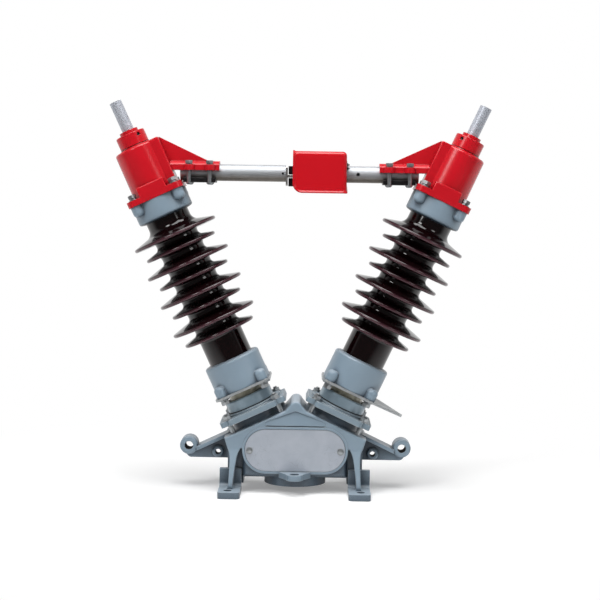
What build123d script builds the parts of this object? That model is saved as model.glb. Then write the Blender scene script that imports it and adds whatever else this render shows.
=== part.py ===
"""One pole of a V-type centre-break outdoor disconnector, in millimetres.

+Z is up, -Y is the front, and the origin is on the ground under the middle of
the base. Two post insulators lean outwards on a gear base. Each one turns about
its own leaning axis and carries half of the contact arm, and both halves swing
out to the front.

Lengths named *_S run up a leaning axis from the point where both axes meet.
"""
from build123d import *
from math import cos, radians, sin, tan
import os

os.makedirs("parts", exist_ok=True)

# ---- Driving dimensions -------------------------------------------------
POST_TILT = 25             # lean of each post from the vertical, degrees
MEET_Z = -25               # height where the two post axes cross
RUNNING_GAP = 0.3          # radial and axial clearance of turning fits
SEAT_GAP = 0.3             # clearance round a tube or core in its socket
HOLE_GAP = 0.5             # radial clearance of a bolt in its hole

# Base casting
WALL_HALF = 65             # middle to the face of the lower walls
PANEL_STAND = 10           # pads and shoulders stand out of the lower walls
RECESS_DEPTH = 12          # side walls behind the gussets, back from the lower walls
BODY_BOTTOM_Z = 35
BODY_SIDE_X = 154
BODY_FOOT_X = 120
SHOULDER_Z = 101
PANEL_EDGE_RADIUS = 5
WALL_EDGE_RADIUS = 10
HUMP_TOP_Z = 211
HUMP_HALF_WIDTH = 24       # where the hump leaves the pads
HUMP_CROWN_HALF = 14       # where its round crown starts
HUMP_CROWN_Z = 202
PAD_S = 205                # plane of the two slanted pads
PAD_END_X = 162
POCKET_DEPTH = 5           # shallow triangle under the hump, front and back
POCKET_TOP_Z = 190
POCKET_HALF_WIDTH = 96
POCKET_RADIUS = 6

# Cover on the front of the base, and its blind twin on the back
COVER_LENGTH = 228
COVER_HEIGHT = 95
COVER_THICKNESS = 3
COVER_Z = 99.5
COVER_GAP = 1
RIM_WIDTH = 6.5
RIM_STAND = 11             # out of the lower walls

# Feet and gussets
FOOT_X = 147
FOOT_WIDTH = 50
FOOT_REACH_Y = 148
FOOT_THICKNESS = 14.5
FOOT_CORNER_RADIUS = 9
FOOT_HOLE_X = 150
FOOT_HOLE_Y = 120
FOOT_HOLE_DIAMETER = 19
LEG_FACE_Y = 62
LEG_THICKNESS = 14
LEG_TOP_Z = 54
REAR_LEG_TOP_Z = 32
LEG_FILLET = 10
GUSSET_TOP_X = 139
GUSSET_BOTTOM_X = 146
GUSSET_THICKNESS = 8
GUSSET_REACH_Y = 106
GUSSET_TOE_HEIGHT = 6      # above the foot

# Side arms with their two bosses
ARM_WEB_BOTTOM_Z = 69
ARM_WEB_THICKNESS = 12
ARM_FLANGE_DEPTH = 56
ARM_FLANGE_THICKNESS = 9
ARM_FLANGE_ROOT_Z = 127
ARM_FLANGE_END_Z = 92
BOSS_X = 246
BOSS_Z = 99
BOSS_DIAMETER = 42
BOSS_LENGTH = 44
BOSS_BORE = 19
SMALL_BOSS_X = 179
SMALL_BOSS_Z = 84
SMALL_BOSS_DIAMETER = 28
SMALL_BOSS_LENGTH = 28
SMALL_BOSS_BORE = 12.5
BOSS_CHAMFER = 3

# Front and rear lugs
LUG_TOP_Z = 50
LUG_THICKNESS = 13
LUG_ROOT_WIDTH = 72
LUG_TIP_RADIUS = 19
LUG_HOLE_Y = 104
LUG_HOLE_DIAMETER = 22

# Gear-case ring under the body
RING_DIAMETER = 142
RING_HEIGHT = 20

# Bearing seat on its levelling studs
STUD_GAP = 20              # pad to the underside of the seat
SEAT_THICKNESS = 13
SEAT_EAR_END = 20          # stud to the end of its ear
SEAT_EAR_SIDE = 9          # stud to the front or back of its ear
SEAT_STRIP_END = -1        # stud to the end of the front and back strips
SEAT_STRIP_SIDE = 24       # stud to the face of the front and back strips
SEAT_CORNER_RADIUS = 8
SEAT_RIM_DIAMETER = 142
SEAT_RIM_HEIGHT = 5
STUD_PITCH = 120
STUD_DIAMETER = 12         # its shoulder carries the seat
STUD_THREAD_DIAMETER = 10
STUD_END = 4               # above its nut
NUT_ACROSS = 20
NUT_HEIGHT = 9

# Turntable and its spindle
SPINDLE_DIAMETER = 60
SPINDLE_DEPTH = 40         # below the pad
HUB_DIAMETER = 112
HUB_HEIGHT = 27
HUB_CHAMFER = 3
NECK_DIAMETER = 82
PLATE_THICKNESS = 5
PLATE_EDGE = 18.5          # cap bolt to the plate's edge
PLATE_CORNER_RADIUS = 18
LEVER_REACH = 124
LEVER_TIP_Y = 38
LEVER_TIP_RADIUS = 11
LEVER_BORE = 12

# Insulator end caps
CAP_BOTTOM_S = 289
CAP_BOLT_PITCH = 99        # square pattern of a 140 mm bolt circle
BOLT_DIAMETER = 12
BOLT_ACROSS = 18
BOLT_HEAD = 8
CAP_EDGE = 16.5            # cap bolt pattern to the cap's wall
CAP_FLOOR = 16
CAP_RISE = 3               # of the open end towards the porcelain
CAP_ROUND = 6
CAP_BOSS_RADIUS = 14
CAP_BOSS_HEIGHT = 26
CAP_BOSS_ROUND = 10
LOWER_CAP_HEIGHT = 70
UPPER_CAP_HEIGHT = 45

# Porcelain
POST_HEIGHT = 478          # over both caps
CORE_DIAMETER = 103
LARGE_SHED_DIAMETER = 202
SMALL_SHED_DIAMETER = 171
SHED_PITCH = 71.5
SHED_COUNT = 4
SMALL_SHED_DROP = 32       # a small shed below its large one
TOP_SHED_DROP = 95         # top shed's rim below the upper cap's top
SHED_TIP_RADIUS = 3.5
SHED_TOP_SLOPE = 17
SHED_UNDER_SLOPE = 6
SHED_ROOT_RADIUS = 8

# Contact housing
HOUSING_EDGE = 17.5        # cap bolt to the flange's edge
HOUSING_FLANGE = 14
HOUSING_CORNER_RADIUS = 16
HOUSING_DIAMETER = 106
HOUSING_TOP_DIAMETER = 103
HOUSING_HEIGHT = 125
HOUSING_EDGE_RADIUS = 6
HOUSING_PAD_WIDTH = 66
HOUSING_PAD_HEIGHT = 36
HOUSING_PAD_INSET = 7
HOUSING_RIDGE_WIDTH = 14
HOUSING_RIDGE_STAND = 4
LIP_DIAMETER = 72
LIP_HEIGHT = 3
WEB_THICKNESS = 14
WEB_TOP_X = 324
WEB_TOP_Z = 809
WEB_END_X = 208

# Contact arm
ARM_Z = 729
TUBE_DIAMETER = 38
TUBE_WALL = 5
TUBE_OUTER_X = 273
SADDLE_OUTER_X = 297
SADDLE_INNER_X = 183
SADDLE_WALL = 7            # arch over the tube
SADDLE_FLANGE_TOP_Z = 746.5
SADDLE_BOTTOM_Z = 733.5
CLAMP_OUTER_X = 265
CLAMP_INNER_X = 191
CLAMP_TOP_Z = 721
CLAMP_THICKNESS = 12
CLAMP_HALF = 30
CLAMP_WALL = 4             # under the tube
CLAMP_BOLT_OUTER_X = 252
CLAMP_BOLT_INNER_X = 205
CLAMP_BOLT_Y = 28
CLAMP_BOLT_DIAMETER = 10
CLAMP_BOLT_ACROSS = 16
CLAMP_BOLT_HEAD = 8
CLAMP_NUT_DIAMETER = 14    # domed nut under the clamp bar
CLAMP_NUT_HEIGHT = 5
CLAMP_NUT_ROUND = 2
CLAMP_BOSS_RADIUS = 12

# Contact blade on the left arm, fingers and hood on the right arm
LEFT_TUBE_END_X = 31
BLADE_END_PLATE = 4
BLADE_END_HEIGHT = 44
BLADE_WIDTH = 40
BLADE_THICKNESS = 6
BLADE_TIP_X = 10
BLADE_TIP_RADIUS = 8
BLADE_DROP = 6             # blade centre below the tube's axis
FINGER_GAP = 1.2           # over each face of the blade
FINGER_TIP_X = -25
FINGER_TIP_LENGTH = 16
FINGER_TIP_HEIGHT = 19
FINGER_WIDTH = 26
FINGER_BAR = 8
FINGER_BLOCK_X = 34
FINGER_BLOCK_LENGTH = 26
FINGER_BLOCK_WIDTH = 34
DRILLED_HOLE_X = 134
DRILLED_HOLE_DIAMETER = 8
HOOD_LEFT_X = -15
HOOD_RIGHT_X = 108
HOOD_TOP_Z = 780
HOOD_BOTTOM_Z = 685
HOOD_DEPTH = 90
HOOD_WALL = 2
HOOD_CORNER_RADIUS = 22
HOOD_EDGE_RADIUS = 10
HOOD_BEAD_WIDTH = 7
HOOD_BEAD_STAND = 2.5

# Terminal on top of each housing
COLLAR_DIAMETER = 69
COLLAR_HEIGHT = 29
COLLAR_GAP = 1.5           # between the housing's lip and the collar
COLLAR_CHAMFER = 1.5
COLLAR_RING_DIAMETER = 44
COLLAR_RING_HEIGHT = 8
SET_SCREW_DIAMETER = 8.5
SET_SCREW_ANGLE = 38       # from the front towards the inside of the V
SET_SCREW_DROP = 9         # below the collar's top
SET_SCREW_DEPTH = 10
ROD_DIAMETER = 28
ROD_LENGTH = 72
ROD_ROOT_DIAMETER = 22     # inside the collar
STEM_DIAMETER = 40
STEM_DEPTH = 45

# ---- Derived places -----------------------------------------------------
TILT_SIN = sin(radians(POST_TILT))
TILT_COS = cos(radians(POST_TILT))
SIDES = {"left": -1, "right": 1}
PANEL_HALF = WALL_HALF + PANEL_STAND
RECESS_HALF = WALL_HALF - RECESS_DEPTH
RIM_FACE = WALL_HALF + RIM_STAND
SPINDLE_BOTTOM_S = PAD_S - SPINDLE_DEPTH
SEAT_S = PAD_S + STUD_GAP
SEAT_TOP_S = SEAT_S + SEAT_THICKNESS
TURNTABLE_S = SEAT_TOP_S + SEAT_RIM_HEIGHT + RUNNING_GAP
HUB_TOP_S = TURNTABLE_S + HUB_HEIGHT
PLATE_S = CAP_BOTTOM_S - PLATE_THICKNESS
PLATE_WIDTH = CAP_BOLT_PITCH + 2 * PLATE_EDGE
CAP_DIAMETER = CAP_BOLT_PITCH + 2 * CAP_EDGE
CAP_BORE = CORE_DIAMETER / 2 + SEAT_GAP
CAP_TOP_S = CAP_BOTTOM_S + POST_HEIGHT
TOP_SHED_S = CAP_TOP_S - TOP_SHED_DROP
HOUSING_WIDTH = CAP_BOLT_PITCH + 2 * HOUSING_EDGE
HOUSING_TOP_S = CAP_TOP_S + HOUSING_HEIGHT
SADDLE_RADIUS = TUBE_DIAMETER / 2 + SADDLE_WALL
BLADE_Z = ARM_Z - BLADE_DROP
FINGER_BLOCK_END_X = FINGER_BLOCK_X + FINGER_BLOCK_LENGTH
FINGER_INNER = BLADE_THICKNESS / 2 + FINGER_GAP
COLLAR_S = HOUSING_TOP_S + LIP_HEIGHT + COLLAR_GAP
COLLAR_TOP_S = COLLAR_S + COLLAR_HEIGHT
ROD_S = COLLAR_TOP_S + COLLAR_RING_HEIGHT


def pole_plane(side, s):
    """Plane square to a post axis: local x points to the other post."""
    return Plane(
        origin=(side * s * TILT_SIN, 0, MEET_Z + s * TILT_COS),
        x_dir=(-side * TILT_COS, 0, TILT_SIN),
        z_dir=(side * TILT_SIN, 0, TILT_COS),
    )


def section_plane(side):
    """Plane through a post axis: local x is the radius, local y runs up the axis."""
    return Plane(
        origin=(0, 0, MEET_Z),
        x_dir=(-side * TILT_COS, 0, TILT_SIN),
        z_dir=(0, side, 0),
    )


def pole_axis(side):
    return Axis((0, 0, MEET_Z), (side * TILT_SIN, 0, TILT_COS))


def pad_height(x):
    """Height of a pad's plane at the distance x from the middle."""
    return MEET_Z + (PAD_S - x * TILT_SIN) / TILT_COS


def turn(side, *points, rounds=()):
    """Revolve the closed outline of (radius, s) points about a post axis.

    Each of the rounds is a point of the outline and the radius of its corner.
    """
    with BuildSketch(section_plane(side)) as outline:
        with BuildLine():
            Polyline(*points, close=True)
        make_face()
        for point, radius in rounds:
            fillet(outline.vertices().sort_by_distance(Vector(*point))[0], radius)
    revolve(outline.sketch, axis=pole_axis(side))


def save(builder, name):
    builder.part.label = name
    export_step(builder.part, f"parts/{name}.step")


# ---- Base ---------------------------------------------------------------
def both_halves(points):
    """A right-hand outline, from the top down, joined to its mirror image."""
    return points + [(-x, z) for x, z in reversed(points)]


crown_end = (HUMP_CROWN_HALF, HUMP_CROWN_Z)
hump_end = (HUMP_HALF_WIDTH, pad_height(HUMP_HALF_WIDTH))
pad_end = (PAD_END_X, pad_height(PAD_END_X))

# Pads, hump and shoulders, which stand out of the lower walls
with BuildPart() as pad_block:
    with BuildSketch(Plane.XZ):
        with BuildLine():
            SagittaArc((-HUMP_CROWN_HALF, HUMP_CROWN_Z), crown_end, HUMP_TOP_Z - HUMP_CROWN_Z)
            Polyline(*both_halves([crown_end, hump_end, pad_end, (BODY_SIDE_X, SHOULDER_Z)]))
        make_face()
    extrude(amount=PANEL_HALF, both=True)
    faces_y = faces().filter_by(Axis.Y).group_by(Axis.Y)
    fillet((faces_y[0] + faces_y[-1]).edges(), PANEL_EDGE_RADIUS)
    for plane in (Plane.XZ.offset(PANEL_HALF), Plane.XZ.offset(-PANEL_HALF)):
        with BuildSketch(plane):
            with BuildLine():
                Polyline(
                    (0, POCKET_TOP_Z),
                    (POCKET_HALF_WIDTH, COVER_Z + COVER_HEIGHT / 2 + RIM_WIDTH),
                    (-POCKET_HALF_WIDTH, COVER_Z + COVER_HEIGHT / 2 + RIM_WIDTH),
                    close=True,
                )
            make_face()
            fillet(vertices(), POCKET_RADIUS)
        depth = -POCKET_DEPTH if plane.origin.Y < 0 else POCKET_DEPTH
        extrude(amount=depth, mode=Mode.SUBTRACT)

# Lower walls
with BuildPart() as lower_walls:
    with BuildSketch(Plane.XZ):
        with Locations((0, BODY_BOTTOM_Z)):
            Rectangle(
                2 * BODY_FOOT_X,
                SHOULDER_Z + PANEL_EDGE_RADIUS - BODY_BOTTOM_Z,
                align=(Align.CENTER, Align.MIN),
            )
    extrude(amount=WALL_HALF, both=True)
    faces_y = faces().filter_by(Axis.Y).group_by(Axis.Y)
    fillet((faces_y[0] + faces_y[-1]).edges(), WALL_EDGE_RADIUS)

# Feet: leg, toe and slanted gusset
gusset_run = Vector(GUSSET_TOP_X - GUSSET_BOTTOM_X, 0, SHOULDER_Z - FOOT_THICKNESS).normalized()
gusset_plane = Plane(
    origin=(GUSSET_BOTTOM_X, 0, 0), x_dir=(0, 1, 0), z_dir=(gusset_run.Z, 0, -gusset_run.X)
)


def make_foot(leg_top_z):
    """A foot at the right front."""
    with BuildPart() as foot:
        with BuildSketch(Plane.YZ.offset(FOOT_X)):
            with BuildLine():
                Polyline(
                    (LEG_THICKNESS - LEG_FACE_Y, 0),
                    (-FOOT_REACH_Y, 0),
                    (-FOOT_REACH_Y, FOOT_THICKNESS),
                    (-LEG_FACE_Y, FOOT_THICKNESS),
                    (-LEG_FACE_Y, leg_top_z),
                    (LEG_THICKNESS - LEG_FACE_Y, leg_top_z),
                    close=True,
                )
            make_face()
            root = vertices().sort_by_distance(Vector(-LEG_FACE_Y, FOOT_THICKNESS))[0]
            fillet(root, LEG_FILLET)
        extrude(amount=FOOT_WIDTH / 2, both=True)
        fillet(faces().sort_by(Axis.Y)[0].edges().filter_by(Axis.Z), FOOT_CORNER_RADIUS)
        with BuildSketch(gusset_plane):
            with BuildLine():
                Polyline(
                    (LEG_THICKNESS - LEG_FACE_Y, FOOT_THICKNESS / 2),
                    (-GUSSET_REACH_Y, FOOT_THICKNESS / 2),
                    (-GUSSET_REACH_Y, FOOT_THICKNESS + GUSSET_TOE_HEIGHT),
                    (-PANEL_HALF, SHOULDER_Z),
                    (-PANEL_HALF + PANEL_EDGE_RADIUS, SHOULDER_Z + PANEL_EDGE_RADIUS),
                    (LEG_THICKNESS - LEG_FACE_Y, SHOULDER_Z + PANEL_EDGE_RADIUS),
                    close=True,
                )
            make_face()
        extrude(amount=GUSSET_THICKNESS / 2, both=True)
        with BuildSketch(Plane.XY):
            with Locations((FOOT_HOLE_X, -FOOT_HOLE_Y)):
                Circle(FOOT_HOLE_DIAMETER / 2)
        extrude(amount=FOOT_THICKNESS, mode=Mode.SUBTRACT)
    return foot.part


right_feet = [make_foot(LEG_TOP_Z), mirror(make_foot(REAR_LEG_TOP_Z), about=Plane.XZ)]
feet = right_feet + [mirror(piece, about=Plane.YZ) for piece in right_feet]

# One side arm: web, flange and two bosses
arm_bosses = (
    (BOSS_X, BOSS_Z, BOSS_DIAMETER, BOSS_LENGTH, BOSS_BORE),
    (SMALL_BOSS_X, SMALL_BOSS_Z, SMALL_BOSS_DIAMETER, SMALL_BOSS_LENGTH, SMALL_BOSS_BORE),
)
flange_end_x = BOSS_X - BOSS_DIAMETER / 2 + BOSS_CHAMFER
with BuildPart() as side_arm:
    for x, z, diameter, length, bore in arm_bosses:
        with BuildSketch(Plane.XZ):
            with Locations((x, z)):
                Circle(diameter / 2)
        extrude(amount=length / 2, both=True)
    chamfer(edges().filter_by(GeomType.CIRCLE), BOSS_CHAMFER)
    with BuildSketch(Plane.XZ):
        with BuildLine():
            Polyline(
                (RECESS_HALF, ARM_WEB_BOTTOM_Z),
                (BOSS_X, ARM_WEB_BOTTOM_Z),
                (BOSS_X + BOSS_DIAMETER / 3, BOSS_Z - BOSS_DIAMETER / 3),
                (BOSS_X, BOSS_Z),
                (flange_end_x, ARM_FLANGE_END_Z),
                (BODY_SIDE_X, ARM_FLANGE_ROOT_Z),
                (RECESS_HALF, ARM_FLANGE_ROOT_Z),
                close=True,
            )
        make_face()
        fillet(vertices().sort_by_distance(Vector(BOSS_X, ARM_WEB_BOTTOM_Z))[0], BOSS_DIAMETER / 4)
    extrude(amount=ARM_WEB_THICKNESS / 2, both=True)
    with BuildSketch(Plane.XZ):
        with BuildLine():
            Polyline(
                (flange_end_x, ARM_FLANGE_END_Z - ARM_FLANGE_THICKNESS / 2),
                (flange_end_x, ARM_FLANGE_END_Z + ARM_FLANGE_THICKNESS / 2),
                (BODY_SIDE_X, ARM_FLANGE_ROOT_Z + ARM_FLANGE_THICKNESS / 2),
                (BODY_FOOT_X, ARM_FLANGE_ROOT_Z + ARM_FLANGE_THICKNESS / 2),
                (BODY_FOOT_X, ARM_FLANGE_ROOT_Z - ARM_FLANGE_THICKNESS / 2),
                (BODY_SIDE_X, ARM_FLANGE_ROOT_Z - ARM_FLANGE_THICKNESS / 2),
                close=True,
            )
        make_face()
    extrude(amount=ARM_FLANGE_DEPTH / 2, both=True)
    for x, z, diameter, length, bore in arm_bosses:
        with BuildSketch(Plane.XZ):
            with Locations((x, z)):
                Circle(bore / 2)
        extrude(amount=ARM_FLANGE_DEPTH, both=True, mode=Mode.SUBTRACT)
side_arms = [side_arm.part, mirror(side_arm.part, about=Plane.YZ)]

with BuildPart() as base_housing:
    add(pad_block.part)
    add(lower_walls.part)
    # Side walls behind the gussets
    with BuildSketch(Plane.XZ):
        with BuildLine():
            side_wall = [
                (BODY_SIDE_X, SHOULDER_Z + PANEL_EDGE_RADIUS),
                (BODY_SIDE_X, LEG_TOP_Z),
                (BODY_FOOT_X, BODY_BOTTOM_Z),
            ]
            Polyline(*both_halves(side_wall), close=True)
        make_face()
    extrude(amount=RECESS_HALF, both=True)
    add(feet)
    add(side_arms)

    # Gear-case ring
    with BuildSketch(Plane.XY.offset(BODY_BOTTOM_Z - RING_HEIGHT)):
        Circle(RING_DIAMETER / 2)
    extrude(amount=RING_HEIGHT + WALL_EDGE_RADIUS)

    # Raised rims, front and back, with the cover's recess in the front one
    with BuildSketch(Plane.XZ):
        with Locations((0, COVER_Z)):
            SlotOverall(COVER_LENGTH + 2 * RIM_WIDTH, COVER_HEIGHT + 2 * RIM_WIDTH)
    extrude(amount=RIM_FACE, both=True)
    with BuildSketch(Plane.XZ.offset(RIM_FACE)):
        with Locations((0, COVER_Z)):
            SlotOverall(COVER_LENGTH + 2 * COVER_GAP, COVER_HEIGHT + 2 * COVER_GAP)
    extrude(amount=-COVER_THICKNESS, mode=Mode.SUBTRACT)

    # Lugs in the middle of the front and the back
    for front in (-1, 1):
        with BuildSketch(Plane.XY.offset(LUG_TOP_Z - LUG_THICKNESS)):
            with BuildLine():
                Polyline(
                    (-LUG_ROOT_WIDTH / 2, front * RECESS_HALF),
                    (LUG_ROOT_WIDTH / 2, front * RECESS_HALF),
                    (LUG_ROOT_WIDTH / 2, front * RIM_FACE),
                    (LUG_TIP_RADIUS, front * LUG_HOLE_Y),
                    (-LUG_TIP_RADIUS, front * LUG_HOLE_Y),
                    (-LUG_ROOT_WIDTH / 2, front * RIM_FACE),
                    close=True,
                )
            make_face()
            with Locations((0, front * LUG_HOLE_Y)):
                Circle(LUG_TIP_RADIUS)
                Circle(LUG_HOLE_DIAMETER / 2, mode=Mode.SUBTRACT)
        extrude(amount=LUG_THICKNESS)

    # Bores for the turntables' spindles
    for side in SIDES.values():
        with BuildSketch(pole_plane(side, SPINDLE_BOTTOM_S - RUNNING_GAP)):
            Circle(SPINDLE_DIAMETER / 2 + RUNNING_GAP)
        extrude(amount=HUMP_TOP_Z, mode=Mode.SUBTRACT)
save(base_housing, "base_housing")

with BuildPart() as cover_plate:
    with BuildSketch(Plane.XZ.offset(RIM_FACE - COVER_THICKNESS)):
        with Locations((0, COVER_Z)):
            SlotOverall(COVER_LENGTH, COVER_HEIGHT)
    extrude(amount=COVER_THICKNESS)
save(cover_plate, "cover_plate")


# ---- Bearing seats ------------------------------------------------------
def make_bearing_seat(name, side):
    with BuildPart() as seat:
        with BuildSketch(pole_plane(side, SEAT_S)):
            for end, face in (
                (SEAT_EAR_END, SEAT_EAR_SIDE),
                (SEAT_STRIP_END, SEAT_STRIP_SIDE),
            ):
                RectangleRounded(
                    STUD_PITCH + 2 * end,
                    STUD_PITCH + 2 * face,
                    SEAT_CORNER_RADIUS,
                )
        extrude(amount=SEAT_THICKNESS)
        with BuildSketch(pole_plane(side, SEAT_TOP_S)):
            Circle(SEAT_RIM_DIAMETER / 2)
        extrude(amount=SEAT_RIM_HEIGHT)
        with BuildSketch(pole_plane(side, SEAT_S)):
            Circle(SPINDLE_DIAMETER / 2 + RUNNING_GAP)
            with GridLocations(STUD_PITCH, STUD_PITCH, 2, 2):
                Circle(STUD_THREAD_DIAMETER / 2 + HOLE_GAP)
        extrude(amount=SEAT_THICKNESS + SEAT_RIM_HEIGHT, mode=Mode.SUBTRACT)
    save(seat, f"{name}_bearing_seat")


def make_levelling_studs(name, side):
    """Four shouldered studs that stand on the pad, each with a nut over the seat."""
    with BuildPart() as studs:
        for s, radius, length in (
            (PAD_S, STUD_DIAMETER / 2, STUD_GAP),
            (SEAT_S, STUD_THREAD_DIAMETER / 2, SEAT_THICKNESS + NUT_HEIGHT + STUD_END),
        ):
            with BuildSketch(pole_plane(side, s)):
                with GridLocations(STUD_PITCH, STUD_PITCH, 2, 2):
                    Circle(radius)
            extrude(amount=length)
        with BuildSketch(pole_plane(side, SEAT_TOP_S)):
            with GridLocations(STUD_PITCH, STUD_PITCH, 2, 2):
                RegularPolygon(NUT_ACROSS / 2, 6, major_radius=False)
        extrude(amount=NUT_HEIGHT)
    save(studs, f"{name}_levelling_studs")


# ---- Turning posts ------------------------------------------------------
def make_turntable(name, side):
    with BuildPart() as turntable:
        turn(
            side,
            (0, SPINDLE_BOTTOM_S),
            (SPINDLE_DIAMETER / 2, SPINDLE_BOTTOM_S),
            (SPINDLE_DIAMETER / 2, TURNTABLE_S),
            (HUB_DIAMETER / 2, TURNTABLE_S),
            (HUB_DIAMETER / 2, HUB_TOP_S - HUB_CHAMFER),
            (HUB_DIAMETER / 2 - HUB_CHAMFER, HUB_TOP_S),
            (NECK_DIAMETER / 2, HUB_TOP_S),
            (NECK_DIAMETER / 2, PLATE_S),
            (0, PLATE_S),
        )
    save(turntable, f"{name}_turntable")


def cut_bolt_holes(side, s, depth):
    """Four clearance holes of the 140 mm bolt circle."""
    with BuildSketch(pole_plane(side, s)) as holes:
        with GridLocations(CAP_BOLT_PITCH, CAP_BOLT_PITCH, 2, 2):
            Circle(BOLT_DIAMETER / 2 + HOLE_GAP)
    extrude(holes.sketch, amount=depth, mode=Mode.SUBTRACT)


def make_adapter_plate(name, side):
    with BuildPart() as plate:
        with BuildSketch(pole_plane(side, PLATE_S)):
            RectangleRounded(PLATE_WIDTH, PLATE_WIDTH, PLATE_CORNER_RADIUS)
        extrude(amount=PLATE_THICKNESS)
        cut_bolt_holes(side, PLATE_S, PLATE_THICKNESS)
    save(plate, f"{name}_adapter_plate")


def make_drive_lever(side):
    """Adapter plate drawn out into a tapered lever that points away from the V."""
    tip = (-LEVER_REACH, side * LEVER_TIP_Y)
    with BuildPart() as lever:
        with BuildSketch(pole_plane(side, PLATE_S)):
            RectangleRounded(PLATE_WIDTH, PLATE_WIDTH, PLATE_CORNER_RADIUS)
            with Locations(tip):
                Circle(LEVER_TIP_RADIUS)
            make_hull(mode=Mode.REPLACE)
            with Locations(tip):
                Circle(LEVER_BORE / 2, mode=Mode.SUBTRACT)
        extrude(amount=PLATE_THICKNESS)
        cut_bolt_holes(side, PLATE_S, PLATE_THICKNESS)
    save(lever, "drive_lever")


def make_bolts(name, side, head_s, up, through):
    """Four hexagon bolts of the 140 mm circle: heads on head_s, shanks the other way."""
    with BuildPart() as bolts:
        with BuildSketch(pole_plane(side, head_s)):
            with GridLocations(CAP_BOLT_PITCH, CAP_BOLT_PITCH, 2, 2):
                RegularPolygon(BOLT_ACROSS / 2, 6, major_radius=False)
        extrude(amount=up * BOLT_HEAD)
        with BuildSketch(pole_plane(side, head_s)):
            with GridLocations(CAP_BOLT_PITCH, CAP_BOLT_PITCH, 2, 2):
                Circle(BOLT_DIAMETER / 2)
        extrude(amount=-up * (through + CAP_FLOOR))
    save(bolts, name)


def make_cap(name, side, closed_s, up, height):
    """Cast cap with its floor at closed_s; it opens towards up."""
    open_s = closed_s + up * height
    with BuildPart() as cap:
        with BuildSketch(pole_plane(side, closed_s)):
            with GridLocations(CAP_BOLT_PITCH, CAP_BOLT_PITCH, 2, 2):
                Circle(CAP_BOSS_RADIUS)
        extrude(amount=up * CAP_BOSS_HEIGHT)
        ends = faces().filter_by(GeomType.PLANE).group_by(pole_axis(side))
        fillet(ends[-1 if up > 0 else 0].edges(), CAP_BOSS_ROUND)
        turn(
            side,
            (0, closed_s),
            (CAP_DIAMETER / 2, closed_s),
            (CAP_DIAMETER / 2, open_s),
            (CAP_BORE, open_s + up * CAP_RISE),
            (0, open_s + up * CAP_RISE),
            rounds=[((CAP_DIAMETER / 2, open_s), CAP_ROUND)],
        )
        with BuildSketch(pole_plane(side, closed_s + up * CAP_FLOOR)):
            Circle(CAP_BORE)
        extrude(amount=up * height, mode=Mode.SUBTRACT)
        cut_bolt_holes(side, closed_s, up * (CAP_FLOOR + HOLE_GAP))
    save(cap, name)


def shed_outline(tip_radius_from_axis, tip_s):
    """Points of one shed from below to above: under slope, round tip, top slope."""
    core = CORE_DIAMETER / 2
    reach = tip_radius_from_axis - SHED_TIP_RADIUS
    rise_under = (reach - core) * tan(radians(SHED_UNDER_SLOPE))
    rise_top = (reach - core) * tan(radians(SHED_TOP_SLOPE))
    return (
        (core, tip_s - SHED_TIP_RADIUS + rise_under),
        (reach, tip_s - SHED_TIP_RADIUS),
        (tip_radius_from_axis, tip_s),
        (reach, tip_s + SHED_TIP_RADIUS),
        (core, tip_s + SHED_TIP_RADIUS + rise_top),
    )


def make_insulator(name, side):
    core = CORE_DIAMETER / 2
    bottom_s = CAP_BOTTOM_S + CAP_FLOOR
    top_s = CAP_TOP_S - CAP_FLOOR
    with BuildPart() as insulator:
        with BuildSketch(section_plane(side)):
            with BuildLine():
                Line((0, bottom_s), (core, bottom_s))
                last = (core, bottom_s)
                for pair in range(SHED_COUNT - 1, -1, -1):
                    large_s = TOP_SHED_S - pair * SHED_PITCH
                    for radius, tip_s in (
                        (SMALL_SHED_DIAMETER / 2, large_s - SMALL_SHED_DROP),
                        (LARGE_SHED_DIAMETER / 2, large_s),
                    ):
                        root_low, under, tip, over, root_high = shed_outline(radius, tip_s)
                        Line(last, root_low)
                        Line(root_low, under)
                        ThreePointArc(under, tip, over)
                        Line(over, root_high)
                        last = root_high
                Line(last, (core, top_s))
                Line((core, top_s), (0, top_s))
                Line((0, top_s), (0, bottom_s))
            make_face()
            on_core = vertices().group_by(Axis.X)[1]
            fillet(on_core.sort_by(Axis.Y)[1:-1], SHED_ROOT_RADIUS)
        revolve(axis=pole_axis(side))
    save(insulator, f"{name}_insulator")


# ---- Contact housings ---------------------------------------------------
def clamp_bolt_places(side):
    return [
        (side * x, y)
        for x in (CLAMP_BOLT_INNER_X, CLAMP_BOLT_OUTER_X)
        for y in (-CLAMP_BOLT_Y, CLAMP_BOLT_Y)
    ]


def cut_tube_seat(side):
    """Round seat for the arm tube, from inside the V out past the tube's end."""
    with BuildSketch(Plane.YZ) as seat:
        with Locations((0, ARM_Z)):
            Circle(TUBE_DIAMETER / 2 + SEAT_GAP)
    extrude(seat.sketch, amount=side * (TUBE_OUTER_X + SEAT_GAP), mode=Mode.SUBTRACT)


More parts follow.
